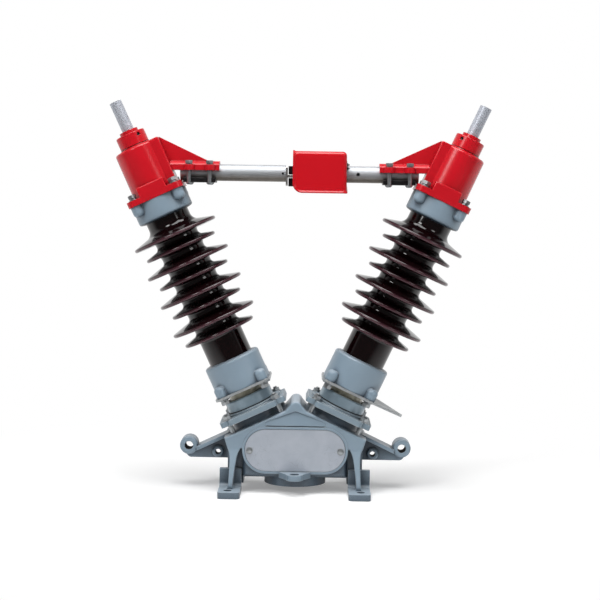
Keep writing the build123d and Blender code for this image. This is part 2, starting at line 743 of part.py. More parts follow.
def make_contact_housing(name, side):
    with BuildPart() as housing:
        # Turned body with its lip
        turn(
            side,
            (0, CAP_TOP_S),
            (HOUSING_DIAMETER / 2, CAP_TOP_S),
            (HOUSING_DIAMETER / 2, CAP_TOP_S + HOUSING_FLANGE),
            (HOUSING_TOP_DIAMETER / 2, HOUSING_TOP_S),
            (0, HOUSING_TOP_S),
            rounds=[((HOUSING_TOP_DIAMETER / 2, HOUSING_TOP_S), HOUSING_EDGE_RADIUS)],
        )
        with BuildSketch(pole_plane(side, HOUSING_TOP_S)):
            Circle(LIP_DIAMETER / 2)
        extrude(amount=LIP_HEIGHT)

        # Flange, front and back pads, and the ridge on the inner side
        with BuildSketch(pole_plane(side, CAP_TOP_S)):
            RectangleRounded(HOUSING_WIDTH, HOUSING_WIDTH, HOUSING_CORNER_RADIUS)
        extrude(amount=HOUSING_FLANGE)
        with BuildSketch(pole_plane(side, CAP_TOP_S)):
            Rectangle(HOUSING_PAD_WIDTH, HOUSING_WIDTH - 2 * HOUSING_PAD_INSET)
        extrude(amount=HOUSING_PAD_HEIGHT)
        with BuildSketch(pole_plane(side, CAP_TOP_S)):
            Rectangle(
                HOUSING_DIAMETER / 2 + HOUSING_RIDGE_STAND,
                HOUSING_RIDGE_WIDTH,
                align=(Align.MIN, Align.CENTER),
            )
        extrude(amount=HOUSING_HEIGHT - 2 * HOUSING_EDGE_RADIUS)

        # Web down to the saddle
        with BuildSketch(Plane.XZ):
            with BuildLine():
                Polyline(
                    (side * WEB_TOP_X, WEB_TOP_Z),
                    (side * WEB_END_X, ARM_Z + SADDLE_RADIUS),
                    (side * WEB_END_X, SADDLE_FLANGE_TOP_Z),
                    (side * WEB_TOP_X, SADDLE_FLANGE_TOP_Z),
                    close=True,
                )
            make_face()
        extrude(amount=WEB_THICKNESS / 2, both=True)

        # Saddle: arch over the tube, with a boss for each clamp bolt
        with BuildSketch(Plane.YZ.offset(side * SADDLE_INNER_X)):
            with Locations((0, ARM_Z)):
                Circle(SADDLE_RADIUS)
            with Locations((0, SADDLE_FLANGE_TOP_Z)):
                Rectangle(2 * SADDLE_RADIUS, 2 * SADDLE_RADIUS, align=(Align.CENTER, Align.MAX))
            with Locations((0, SADDLE_BOTTOM_Z)):
                Rectangle(
                    2 * SADDLE_RADIUS,
                    2 * SADDLE_RADIUS,
                    align=(Align.CENTER, Align.MAX),
                    mode=Mode.SUBTRACT,
                )
        extrude(amount=side * (SADDLE_OUTER_X - SADDLE_INNER_X))
        with BuildSketch(Plane.XY.offset(SADDLE_FLANGE_TOP_Z)):
            with Locations(*clamp_bolt_places(side)):
                Circle(CLAMP_BOSS_RADIUS)
        extrude(amount=SADDLE_BOTTOM_Z - SADDLE_FLANGE_TOP_Z)

        # Bolt heads' seats beside the arch, bolt holes and tube seat
        cut_tube_seat(side)
        with BuildSketch(Plane.XY.offset(SADDLE_FLANGE_TOP_Z)):
            with Locations(*clamp_bolt_places(side)):
                Circle(CLAMP_BOSS_RADIUS)
        extrude(amount=SADDLE_RADIUS, mode=Mode.SUBTRACT)
        with BuildSketch(Plane.XY.offset(SADDLE_FLANGE_TOP_Z)):
            with Locations(*clamp_bolt_places(side)):
                Circle(CLAMP_BOLT_DIAMETER / 2 + HOLE_GAP)
        extrude(amount=SADDLE_BOTTOM_Z - SADDLE_FLANGE_TOP_Z, mode=Mode.SUBTRACT)
        cut_bolt_holes(side, CAP_TOP_S, HOUSING_FLANGE)

        # Socket for the terminal's stem
        with BuildSketch(pole_plane(side, HOUSING_TOP_S + LIP_HEIGHT)):
            Circle(STEM_DIAMETER / 2 + RUNNING_GAP)
        extrude(amount=-STEM_DEPTH - RUNNING_GAP, mode=Mode.SUBTRACT)
    save(housing, f"{name}_contact_housing")


# ---- Contact arm --------------------------------------------------------
def make_clamp_bar(name, side):
    bottom_z = CLAMP_TOP_Z - CLAMP_THICKNESS
    with BuildPart() as bar:
        with BuildSketch(Plane.YZ.offset(side * CLAMP_INNER_X)):
            with Locations((0, CLAMP_TOP_Z)):
                Rectangle(2 * CLAMP_HALF, CLAMP_THICKNESS, align=(Align.CENTER, Align.MAX))
            with Locations((0, ARM_Z)):
                Circle(TUBE_DIAMETER / 2 + CLAMP_WALL)
            with Locations((0, CLAMP_TOP_Z)):
                Rectangle(
                    2 * CLAMP_HALF,
                    2 * TUBE_DIAMETER,
                    align=(Align.CENTER, Align.MIN),
                    mode=Mode.SUBTRACT,
                )
        extrude(amount=side * (CLAMP_OUTER_X - CLAMP_INNER_X))
        cut_tube_seat(side)
        with BuildSketch(Plane.XY.offset(CLAMP_TOP_Z)):
            with Locations(*clamp_bolt_places(side)):
                Circle(CLAMP_BOLT_DIAMETER / 2 + HOLE_GAP)
        extrude(amount=-TUBE_DIAMETER, mode=Mode.SUBTRACT)
        with BuildSketch(Plane.XY.offset(bottom_z)):
            with Locations(*clamp_bolt_places(side)):
                Circle(CLAMP_NUT_DIAMETER / 2 + HOLE_GAP)
        extrude(amount=-CLAMP_NUT_HEIGHT, mode=Mode.SUBTRACT)
    save(bar, f"{name}_clamp_bar")


def make_clamp_bolts(name, side):
    nut_top = CLAMP_TOP_Z - CLAMP_THICKNESS
    with BuildPart() as bolts:
        with BuildSketch(Plane.XY.offset(nut_top)):
            with Locations(*clamp_bolt_places(side)):
                Circle(CLAMP_NUT_DIAMETER / 2)
        extrude(amount=-CLAMP_NUT_HEIGHT)
        fillet(faces().group_by(Axis.Z)[0].edges(), CLAMP_NUT_ROUND)
        with BuildSketch(Plane.XY.offset(SADDLE_FLANGE_TOP_Z)):
            with Locations(*clamp_bolt_places(side)):
                RegularPolygon(CLAMP_BOLT_ACROSS / 2, 6, major_radius=False)
        extrude(amount=CLAMP_BOLT_HEAD)
        with BuildSketch(Plane.XY.offset(nut_top)):
            with Locations(*clamp_bolt_places(side)):
                Circle(CLAMP_BOLT_DIAMETER / 2)
        extrude(amount=SADDLE_FLANGE_TOP_Z - nut_top)
    save(bolts, f"{name}_clamp_bolts")


def make_arm_tube(name, side, end_x, hole_x):
    """Round tube; hole_x, if any, is a hole drilled through its front wall."""
    with BuildPart() as tube:
        with BuildSketch(Plane.YZ.offset(side * TUBE_OUTER_X)):
            with Locations((0, ARM_Z)):
                Circle(TUBE_DIAMETER / 2)
                Circle(TUBE_DIAMETER / 2 - TUBE_WALL, mode=Mode.SUBTRACT)
        extrude(amount=-side * (TUBE_OUTER_X - end_x))
        if hole_x:
            with BuildSketch(Plane.XZ):
                with Locations((side * hole_x, ARM_Z)):
                    Circle(DRILLED_HOLE_DIAMETER / 2)
            extrude(amount=TUBE_DIAMETER, mode=Mode.SUBTRACT)
    save(tube, f"{name}_arm_tube")


with BuildPart() as contact_blade:
    with BuildSketch(Plane.YZ.offset(-LEFT_TUBE_END_X)):
        with Locations((0, BLADE_Z)):
            RectangleRounded(BLADE_WIDTH + BLADE_END_PLATE, BLADE_END_HEIGHT, BLADE_END_PLATE)
    extrude(amount=BLADE_END_PLATE)
    with BuildSketch(Plane.XY.offset(BLADE_Z - BLADE_THICKNESS / 2)):
        with Locations((-LEFT_TUBE_END_X, 0)):
            Rectangle(
                LEFT_TUBE_END_X + BLADE_TIP_X, BLADE_WIDTH, align=(Align.MIN, Align.CENTER)
            )
        fillet(vertices().group_by(Axis.X)[-1], BLADE_TIP_RADIUS)
    extrude(amount=BLADE_THICKNESS)
save(contact_blade, "contact_blade")

with BuildPart() as finger_block:
    with BuildSketch(Plane.YZ.offset(FINGER_BLOCK_X)):
        with Locations((0, BLADE_Z)):
            Rectangle(FINGER_BLOCK_WIDTH, 2 * FINGER_INNER)
    extrude(amount=FINGER_BLOCK_LENGTH)
save(finger_block, "finger_block")

for finger_name, up in (("upper_finger", 1), ("lower_finger", -1)):
    bar_z = BLADE_Z + up * (FINGER_INNER + FINGER_BAR)
    tip_z = BLADE_Z + up * (FINGER_INNER + FINGER_TIP_HEIGHT)
    with BuildPart() as finger:
        with BuildSketch(Plane.XZ):
            with BuildLine():
                Polyline(
                    (FINGER_TIP_X, BLADE_Z + up * FINGER_INNER),
                    (FINGER_BLOCK_END_X, BLADE_Z + up * FINGER_INNER),
                    (FINGER_BLOCK_END_X, bar_z),
                    (FINGER_TIP_X + 2 * FINGER_TIP_LENGTH, bar_z),
                    (FINGER_TIP_X + FINGER_TIP_LENGTH, tip_z),
                    (FINGER_TIP_X, tip_z),
                    close=True,
                )
            make_face()
        extrude(amount=FINGER_WIDTH / 2, both=True)
    save(finger, finger_name)

# Moulded hood: a thin shell open to the left, the back and below, with a bead
# round its open edges
hood_length = HOOD_RIGHT_X - HOOD_LEFT_X
hood_height = HOOD_TOP_Z - HOOD_BOTTOM_Z
with BuildPart() as rain_hood:
    with BuildSketch(Plane.XZ.offset(HOOD_DEPTH / 2)):
        with Locations((HOOD_LEFT_X, HOOD_BOTTOM_Z)):
            Rectangle(hood_length, hood_height, align=(Align.MIN, Align.MIN))
    extrude(amount=-HOOD_DEPTH)
    front_edges = faces().sort_by(Axis.Y)[0].edges()
    fillet(
        [front_edges.sort_by(Axis.Z)[-1], front_edges.sort_by(Axis.X)[-1]], HOOD_EDGE_RADIUS
    )
    open_sides = [faces().sort_by(Axis.X)[0], faces().sort_by(Axis.Y)[-1], faces().sort_by(Axis.Z)[0]]
    offset(amount=-HOOD_WALL, openings=open_sides)
    # Bead along the left edge of the roof and of the front, and along the bottom
    with BuildSketch(Plane.XZ.offset(HOOD_DEPTH / 2)):
        with Locations((HOOD_LEFT_X, HOOD_BOTTOM_Z)):
            Rectangle(hood_length, hood_height - HOOD_EDGE_RADIUS, align=(Align.MIN, Align.MIN))
        with Locations((HOOD_LEFT_X + HOOD_BEAD_WIDTH, HOOD_BOTTOM_Z + HOOD_BEAD_WIDTH)):
            Rectangle(hood_length, hood_height, align=(Align.MIN, Align.MIN), mode=Mode.SUBTRACT)
    extrude(amount=HOOD_BEAD_STAND)
    with BuildSketch(Plane.XY.offset(HOOD_TOP_Z)):
        with Locations((HOOD_LEFT_X, HOOD_DEPTH / 2)):
            Rectangle(
                HOOD_BEAD_WIDTH, HOOD_DEPTH - HOOD_EDGE_RADIUS, align=(Align.MIN, Align.MAX)
            )
    extrude(amount=HOOD_BEAD_STAND)
    # Round lower left corner of the front, and the hole for the arm tube
    with BuildSketch(Plane.XZ):
        with Locations((HOOD_LEFT_X, HOOD_BOTTOM_Z)):
            Rectangle(HOOD_CORNER_RADIUS, HOOD_CORNER_RADIUS, align=(Align.MIN, Align.MIN))
        with Locations((HOOD_LEFT_X + HOOD_CORNER_RADIUS, HOOD_BOTTOM_Z + HOOD_CORNER_RADIUS)):
            Circle(HOOD_CORNER_RADIUS, mode=Mode.SUBTRACT)
    extrude(amount=HOOD_DEPTH, mode=Mode.SUBTRACT)
    with BuildSketch(Plane.YZ.offset(HOOD_RIGHT_X)):
        with Locations((0, ARM_Z)):
            Circle(TUBE_DIAMETER / 2 + SEAT_GAP)
    extrude(amount=-2 * HOOD_WALL, mode=Mode.SUBTRACT)
save(rain_hood, "rain_hood")


# ---- Terminals ----------------------------------------------------------
def make_terminal(name, side):
    with BuildPart() as collar:
        turn(
            side,
            (0, COLLAR_S - STEM_DEPTH),
            (STEM_DIAMETER / 2, COLLAR_S - STEM_DEPTH),
            (STEM_DIAMETER / 2, COLLAR_S),
            (COLLAR_DIAMETER / 2, COLLAR_S),
            (COLLAR_DIAMETER / 2, COLLAR_TOP_S - COLLAR_CHAMFER),
            (COLLAR_DIAMETER / 2 - COLLAR_CHAMFER, COLLAR_TOP_S),
            (COLLAR_RING_DIAMETER / 2, COLLAR_TOP_S),
            (COLLAR_RING_DIAMETER / 2, ROD_S),
            (0, ROD_S),
        )
        with BuildSketch(pole_plane(side, COLLAR_S)):
            Circle(ROD_ROOT_DIAMETER / 2 + SEAT_GAP)
        extrude(amount=ROD_S - COLLAR_S, mode=Mode.SUBTRACT)
        # Blind hole of the set screw
        level = pole_plane(side, COLLAR_TOP_S - SET_SCREW_DROP)
        angle = radians(SET_SCREW_ANGLE)
        outward = level.from_local_coords(Vector(sin(angle), side * cos(angle), 0)) - level.origin
        with BuildSketch(Plane(level.origin + outward * (COLLAR_DIAMETER / 2), z_dir=outward)):
            Circle(SET_SCREW_DIAMETER / 2)
        extrude(amount=-SET_SCREW_DEPTH, mode=Mode.SUBTRACT)
    save(collar, f"{name}_terminal_collar")
    with BuildPart() as rod:
        with BuildSketch(pole_plane(side, COLLAR_S)):
            Circle(ROD_ROOT_DIAMETER / 2)
        extrude(amount=ROD_S - COLLAR_S)
        with BuildSketch(pole_plane(side, ROD_S)):
            Circle(ROD_DIAMETER / 2)
        extrude(amount=ROD_LENGTH)
    save(rod, f"{name}_terminal_rod")


for side_name, side_sign in SIDES.items():
    make_bearing_seat(side_name, side_sign)
    make_levelling_studs(side_name, side_sign)
    make_turntable(side_name, side_sign)
    make_bolts(f"{side_name}_cap_bolts", side_sign, PLATE_S, -1, PLATE_THICKNESS)
    make_cap(f"{side_name}_lower_cap", side_sign, CAP_BOTTOM_S, 1, LOWER_CAP_HEIGHT)
    make_insulator(side_name, side_sign)
    make_cap(f"{side_name}_upper_cap", side_sign, CAP_TOP_S, -1, UPPER_CAP_HEIGHT)
    make_contact_housing(side_name, side_sign)
    make_bolts(
        f"{side_name}_housing_bolts", side_sign, CAP_TOP_S + HOUSING_FLANGE, 1, HOUSING_FLANGE
    )
    make_clamp_bar(side_name, side_sign)
    make_clamp_bolts(side_name, side_sign)
    make_terminal(side_name, side_sign)
make_adapter_plate("left", SIDES["left"])
make_drive_lever(SIDES["right"])
make_arm_tube("left", SIDES["left"], LEFT_TUBE_END_X, None)
make_arm_tube("right", SIDES["right"], FINGER_BLOCK_END_X, DRILLED_HOLE_X)
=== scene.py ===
import math

import bmesh
import bpy
import numpy as np
from mathutils import Matrix, Vector


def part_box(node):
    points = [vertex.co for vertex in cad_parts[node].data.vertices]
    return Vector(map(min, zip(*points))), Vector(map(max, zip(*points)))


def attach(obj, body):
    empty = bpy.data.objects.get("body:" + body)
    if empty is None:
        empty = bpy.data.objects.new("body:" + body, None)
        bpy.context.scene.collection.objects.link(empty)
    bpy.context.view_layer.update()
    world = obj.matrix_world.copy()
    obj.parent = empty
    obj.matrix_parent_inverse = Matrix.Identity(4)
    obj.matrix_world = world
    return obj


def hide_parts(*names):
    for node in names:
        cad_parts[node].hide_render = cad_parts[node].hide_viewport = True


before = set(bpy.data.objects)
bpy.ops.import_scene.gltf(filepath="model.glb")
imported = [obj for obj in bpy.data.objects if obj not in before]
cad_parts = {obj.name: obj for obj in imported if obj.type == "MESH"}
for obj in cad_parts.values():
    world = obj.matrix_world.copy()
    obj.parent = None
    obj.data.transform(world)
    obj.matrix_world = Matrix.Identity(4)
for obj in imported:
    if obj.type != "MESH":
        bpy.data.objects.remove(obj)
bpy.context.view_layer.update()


# ---- Base casting and end caps ------------------------------------------
# Sand-cast iron, shot-blasted and sprayed with blue-grey air-drying enamel. The
# paint levels out the grain of the sand but not its larger waves, and lies thin on
# the edges; painted shade darkens its corners and recesses.
def linear(code):
    """sRGB hex code to linear RGBA: ((c + 0.055) / 1.055) ^ 2.4 above the toe, c / 12.92 below it."""
    values = [int(code[i:i + 2], 16) / 255 for i in (0, 2, 4)]
    return [v / 12.92 if v <= 0.04045 else ((v + 0.055) / 1.055) ** 2.4 for v in values] + [1.0]


def add_node(material, kind, inputs=(), **settings):
    """Adds one shader node. An input takes a value, an output, or a node, meaning its first output."""
    tree = material.node_tree
    made = tree.nodes.new("ShaderNode" + kind)
    for name, value in settings.items():
        setattr(made, name, value)
    for socket, value in dict(inputs).items():
        if isinstance(value, bpy.types.Node):
            value = value.outputs[0]
        if isinstance(value, bpy.types.NodeSocket):
            tree.links.new(value, made.inputs[socket])
        else:
            made.inputs[socket].default_value = value
    return made


def new_material(name):
    """An empty material, and the Object coordinates that its patterns read."""
    material = bpy.data.materials.new(name)
    material.use_nodes = True
    material.node_tree.nodes.clear()
    return material, add_node(material, "TexCoord").outputs["Object"]


def give_surface(material, inputs):
    """Ends a material with a principled surface that has these inputs."""
    shader = add_node(material, "BsdfPrincipled", inputs)
    add_node(material, "OutputMaterial", {"Surface": shader})


def shaded_corners(material, tone, distance, shade_colour, shut, clear, most, samples=8):
    """The tone darkened towards the shade colour in the corners, as painted shade; corners are found by
    looking round as far as the distance, in metres.

    The shade colour's share falls from its most, where the open part of that view is as small as shut, to
    none where it is as large as clear.
    """
    corner = add_node(material, "AmbientOcclusion", {"Distance": distance}, samples=samples)
    share = add_node(material, "MapRange", {"Value": corner.outputs["AO"], "From Min": shut,
                                            "From Max": clear, "To Min": most, "To Max": 0.0})
    return add_node(material, "MixRGB", {"Fac": share, "Color1": tone, "Color2": linear(shade_colour)})


def rubbed_edges(material, radius, smooth, sharp, most, samples=6):
    """A normal rounded over the radius, in metres, and how far rubbing has bared the edges there.

    Rubbing grows from none, where the cosine between the rounded normal and the face's own is smooth, to its
    most at sharp.
    """
    rounded_normal = add_node(material, "Bevel", {"Radius": radius}, samples=samples)
    face_normal = add_node(material, "NewGeometry").outputs["Normal"]
    bend = add_node(material, "VectorMath", {0: rounded_normal, 1: face_normal}, operation="DOT_PRODUCT")
    rub = add_node(material, "MapRange", {"Value": bend.outputs["Value"], "From Min": smooth,
                                          "From Max": sharp, "To Min": 0.0, "To Max": most})
    return rounded_normal, rub


def dress(material, *names):
    """Puts the material in every slot of the CAD nodes named."""
    for name in names:
        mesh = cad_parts[name].data
        mesh.materials.clear()
        mesh.materials.append(material)


enamel, place = new_material("grey_enamel_on_sand_casting")
drift = add_node(enamel, "TexNoise", {"Vector": place, "Scale": 14.0, "Detail": 3.0})
# Sand grain is 0.4 to 0.8 mm; drawn at 2.5 mm so that it shows
sand = add_node(enamel, "TexNoise", {"Vector": place, "Scale": 400.0, "Detail": 2.0})
wave = add_node(enamel, "TexNoise", {"Vector": place, "Scale": 60.0, "Detail": 2.0})
tone = add_node(enamel, "MixRGB", {"Fac": drift, "Color1": linear("7B8E9D"), "Color2": linear("8B9DAB")})
# Painted shade: corners and recesses darken towards navy, looking round 8 cm
tone = shaded_corners(enamel, tone, 0.08, "2E3A46", shut=0.42, clear=0.88, most=0.9)
# Painted light: the faces that look up are made paler, as light from above falls on them
facing = add_node(enamel, "SeparateXYZ", {"Vector": add_node(enamel, "NewGeometry").outputs["Normal"]})
lit_from_above = add_node(enamel, "MapRange", {"Value": facing.outputs["Z"], "From Min": 0.3, "From Max": 0.95,
                                      "To Min": 0.0, "To Max": 0.6})
tone = add_node(enamel, "MixRGB", {"Fac": lit_from_above, "Color1": tone, "Color2": linear("A9B6C1")})
soft_edge, thin = rubbed_edges(enamel, 0.0028, smooth=0.96, sharp=0.80, most=0.55, samples=8)
thin = add_node(enamel, "Math", {0: thin, 1: wave}, operation="MULTIPLY")
tone = add_node(enamel, "MixRGB", {"Fac": thin, "Color1": tone, "Color2": linear("C9D2D8")})
gloss = add_node(enamel, "MapRange", {"Value": wave, "To Min": 0.30, "To Max": 0.46})
# The bores of the side arms are machined after painting; their near-black, dull
# colour is painted shade inside the holes. Their distance out from the middle,
# height and radius, in metres
BORES = (0.246, 0.099, 0.0097), (0.179, 0.084, 0.0065)
folded = add_node(enamel, "VectorMath", {0: place}, operation="ABSOLUTE")
for x, z, radius in BORES:
    to_axis = add_node(enamel, "VectorMath", {0: folded, 1: (x, 0.0, z)}, operation="SUBTRACT")
    to_axis = add_node(enamel, "VectorMath", {0: to_axis, 1: (1.0, 0.0, 1.0)}, operation="MULTIPLY")
    to_axis = add_node(enamel, "VectorMath", {0: to_axis}, operation="LENGTH")
    bore_shade = add_node(enamel, "Math", {0: to_axis.outputs["Value"], 1: radius}, operation="LESS_THAN")
    tone = add_node(enamel, "MixRGB", {"Fac": bore_shade, "Color1": tone, "Color2": linear("150E0B")})
    gloss = add_node(enamel, "Math", {0: gloss, 1: bore_shade}, operation="MAXIMUM")
heights = add_node(enamel, "Math", {0: sand, 1: 0.35, 2: wave}, operation="MULTIPLY_ADD")
relief = add_node(enamel, "Bump", {"Height": heights, "Strength": 0.35,
                                   "Distance": 0.0009, "Normal": soft_edge})
give_surface(enamel, {"Base Color": tone, "Roughness": gloss, "IOR": 1.5, "Normal": relief})
SIDES = {"left": -1, "right": 1}
dress(enamel, "base_housing", *[f"{side}_{part}" for side in SIDES for part in ("lower_cap", "upper_cap")])

# ---- Cover plate --------------------------------------------------------
# Pressed aluminium sheet, bare, dulled and scratched by handling, and held at
# each end by a cheese-head screw with a washer.
sheet, place = new_material("bare_aluminium_sheet")
cloud = add_node(sheet, "TexNoise", {"Vector": place, "Scale": 34.0, "Detail": 5.0, "Roughness": 0.6})
tone = add_node(sheet, "MixRGB", {"Fac": cloud, "Color1": linear("A2A9B4"), "Color2": linear("B9BFC8")})
# Scratches are the borders of large warped cells, kept only where a second
# noise is high; they are 0.1 mm wide and drawn at 0.5 mm
warp = add_node(sheet, "TexNoise", {"Vector": place, "Scale": 45.0, "Detail": 2.0})
bent = add_node(sheet, "VectorMath", {0: warp.outputs["Color"], 1: (0.05, 0.05, 0.05), 2: place},
                operation="MULTIPLY_ADD")
cells = add_node(sheet, "TexVoronoi", {"Vector": bent, "Scale": 42.0}, feature="DISTANCE_TO_EDGE")
line = add_node(sheet, "MapRange", {"Value": cells.outputs["Distance"], "From Min": 0.0, "From Max": 0.022,
                                    "To Min": 1.0, "To Max": 0.0})
patch = add_node(sheet, "TexNoise", {"Vector": place, "Scale": 21.0, "Detail": 0.0})
patch = add_node(sheet, "MapRange", {"Value": patch, "From Min": 0.55, "From Max": 0.66})
line = add_node(sheet, "Math", {0: line, 1: patch}, operation="MULTIPLY")
mark = add_node(sheet, "Math", {0: line, 1: 0.45}, operation="MULTIPLY")
tone = add_node(sheet, "MixRGB", {"Fac": mark, "Color1": tone, "Color2": linear("7D818B")})
relief = add_node(sheet, "Bump", {"Height": line, "Strength": 0.2, "Distance": 0.0002}, invert=True)
give_surface(sheet, {"Base Color": tone, "Metallic": 0.3, "Roughness": 0.45, "Normal": relief})
dress(sheet, "cover_plate")

# Zinc plating: bright, and dulled a little in clouds of about 7 mm
zinc, place = new_material("zinc_plated_steel")
cloud = add_node(zinc, "TexNoise", {"Vector": place, "Scale": 150.0, "Detail": 4.0})
tone = add_node(zinc, "MixRGB", {"Fac": cloud, "Color1": linear("7F8386"), "Color2": linear("BCC0C2")})
# Painted shade: the zinc darkens in tight corners, looking round 5 mm
tone = shaded_corners(zinc, tone, 0.005, "2E2F31", shut=0.3, clear=0.8, most=0.6, samples=6)
gloss = add_node(zinc, "MapRange", {"Value": cloud, "To Min": 0.26, "To Max": 0.46})
give_surface(zinc, {"Base Color": tone, "Metallic": 0.8, "Roughness": gloss})


def quads(rows, columns):
    """Quads of a grid that closes on itself along its columns: corner (i, j) is i * columns + j."""
    i, j = np.meshgrid(np.arange(rows - 1), np.arange(columns), indexing="ij")
    k = (j + 1) % columns
    corners = (i * columns + j, i * columns + k, (i + 1) * columns + k, (i + 1) * columns + j)
    return np.stack(corners, -1).reshape(-1, 4)


def lathe(profile, steps=48):
    """Outline of (radius, height) turned about the third axis: (r cos a, r sin a, h)."""
    radius, height = np.asarray(profile, float).T
    angle = np.linspace(0, 2 * np.pi, steps, endpoint=False)
    points = np.stack([np.outer(radius, np.cos(angle)), np.outer(radius, np.sin(angle)),
                       np.outer(height, np.ones(steps))], -1)
    return points.reshape(-1, 3), quads(len(radius), steps)


def join(*shapes):
    """Several (points, quads) as one."""
    starts = np.cumsum([0] + [len(points) for points, _ in shapes])
    points = np.concatenate([points for points, _ in shapes])
    return points, np.concatenate([faces + start for (_, faces), start in zip(shapes, starts)])


def moved(shape, x, y, z):
    return shape[0] + (x, y, z), shape[1]


def facing_front(shape):
    """Turns a shape's third axis to the front: (x, y, z) becomes (x, -z, y)."""
    return shape[0][:, [0, 2, 1]] * (1, -1, 1), shape[1]


def add_piece(name, shape, material, body, replaces=(), crease=35, closed=True):
    """Makes a smooth-shaded mesh from millimetres, and rides it on a body.

    A closed one has its faces turned outwards, and an open shell already has them so.
    """
    points, faces = shape
    mesh = bpy.data.meshes.new(name)
    mesh.from_pydata((points / 1000).tolist(), [], faces.tolist())
    built = bmesh.new()
    built.from_mesh(mesh)
    bmesh.ops.remove_doubles(built, verts=built.verts, dist=1e-6)
    if closed:
        bmesh.ops.recalc_face_normals(built, faces=built.faces)
    built.to_mesh(mesh)
    built.free()
    mesh.polygons.foreach_set("use_smooth", np.ones(len(mesh.polygons), bool))
    mesh.set_sharp_from_angle(angle=math.radians(crease))
    mesh.materials.append(material)
    piece = bpy.data.objects.new(name, mesh)
    bpy.context.scene.collection.objects.link(piece)
    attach(piece, body)
    if replaces:
        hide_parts(*replaces)
    return piece


WASHER = lathe([(0, 0), (8, 0), (8, 1.3), (7.7, 1.6), (0, 1.6)])
HEAD = lathe([(0, 0), (5.6, 0), (5.6, 2.6), (5.2, 3.4), (3.6, 4.0), (0, 4.2)])
COVER_SCREW_X = 103.8
cover_low, cover_high = (np.array(corner) * 1000 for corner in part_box("cover_plate"))
screw = facing_front(join(WASHER, moved(HEAD, 0, 0, 1.6)))
# The screws sit a little below the middle of the cover's box
screw_z = (cover_low[2] + cover_high[2]) / 2 - 1.2
add_piece("cover_screws", join(*[moved(screw, x, cover_low[1], screw_z)
                                 for x in (-COVER_SCREW_X, COVER_SCREW_X)]), zinc, "base")

# ---- Gusset roots and gable panels --------------------------------------
# Cast forms of the base: each gusset widens into its foot and into the shoulder
# above it, and a three-cornered panel under the hump leans back a little.
FOOT_TOP_Z, TOE_Z, SHOULDER_Z = 14.5, 20.5, 101.0
GUSSET_X, GUSSET_LEAN_IN, GUSSET_BACK, GUSSET_TOE, GUSSET_LEAN_BACK = 146.0, 7.0, 51.0, 106.3, 31.0
GABLE_HALF, GABLE_FOOT_Z, GABLE_TOP_Z, GABLE_BACK = 98.0, 155.8, 192.5, 69.0
GABLE_FACE, GABLE_LEAN_BACK = 74.6, 3.1


def capped(rings):
    """Rings of one length each, joined in turn, with each end drawn in to its middle."""
    rings = np.concatenate([rings[:1].mean(1, keepdims=True) + 0 * rings[:1], rings,
                            rings[-1:].mean(1, keepdims=True) + 0 * rings[-1:]])
    return rings.reshape(-1, 3), quads(*rings.shape[:2])


def gusset_root(side, front):
    """Gusset of the half width 4.3 + 4 t + 6 exp(-below the shoulder / 9) + 5 exp(-above the foot / 3).

    t is the share of its height. It leans inwards all the way up. Its edge is upright up to the toe, leans
    back above it, 0.3 mm in front of the solid's, and ends in the face of the shoulder.
    """
    height = np.append(np.linspace(FOOT_TOP_Z - 1, SHOULDER_Z, 40), SHOULDER_Z + 6)
    z = np.minimum(height, SHOULDER_Z)
    t = (z - FOOT_TOP_Z) / (SHOULDER_Z - FOOT_TOP_Z)
    middle = GUSSET_X - GUSSET_LEAN_IN * t
    half = 4.3 + 4.0 * t + 6.0 * np.exp((z - SHOULDER_Z) / 9) + 5.0 * np.exp((FOOT_TOP_Z - z) / 3)
    edge = (GUSSET_TOE - GUSSET_LEAN_BACK * np.clip((z - TOE_Z) / (SHOULDER_Z - TOE_Z), 0, 1)
            - 0.1 * (height - z))
    x = np.stack([-half, -half, 1.5 - half, half - 1.5, half, half], -1) + middle[:, None]
    back = np.full(len(z), GUSSET_BACK)
    y = np.stack([back, edge - 1.5, edge, edge, edge - 1.5, back], -1)
    return capped(np.stack([side * x, -front * y, np.broadcast_to(height[:, None], x.shape)], -1))


add_piece("gusset_roots", join(*[gusset_root(side, front) for side in (-1, 1) for front in (-1, 1)]),
          enamel, "base")


def gable_panel(front):
    """Triangle whose face leans back from its foot to its top."""
    x = np.array([-GABLE_HALF, GABLE_HALF, 0.0])
    z = np.array([GABLE_FOOT_Z, GABLE_FOOT_Z, GABLE_TOP_Z])
    face = GABLE_FACE - GABLE_LEAN_BACK * (z - GABLE_FOOT_Z) / (GABLE_TOP_Z - GABLE_FOOT_Z)
    return capped(np.stack([np.stack([x, -front * y, z], -1) for y in (0 * z + GABLE_BACK, face)]))


add_piece("gable_panels", join(gable_panel(1), gable_panel(-1)), enamel, "base")

# ---- Bearing seats and levelling studs ----------------------------------
# Cast seats, enamelled like the base but rubbed bare along their edges, each on
# four shouldered steel studs. A plain washer and a nut hold every stud's top.
# Heights that end in S run up a post's axis. Both axes rise from the height
# MEET_Z in the middle, and lean outwards from there by TILT.
MEET_Z = -25.0
TILT = math.radians(25)
STUD_HALF = 60.0
PAD_S, SEAT_S, SEAT_TOP_S = 205.0, 225.0, 238.0


def on_post(side, shape, across, front, up, flip=1):
    """Stands a shape on a leaning post: its third axis runs up the post, or down it where flip is -1.

    x = side (up sin t - across cos t), y = -front, z = meeting height + up cos t + across sin t.
    """
    u, v, w = shape[0].T
    u, v, w = u + across, v + front, flip * w + up
    x = side * (w * math.sin(TILT) - u * math.cos(TILT))
    z = MEET_Z + w * math.cos(TILT) + u * math.sin(TILT)
    return np.stack([x, -v, z], -1), shape[1]


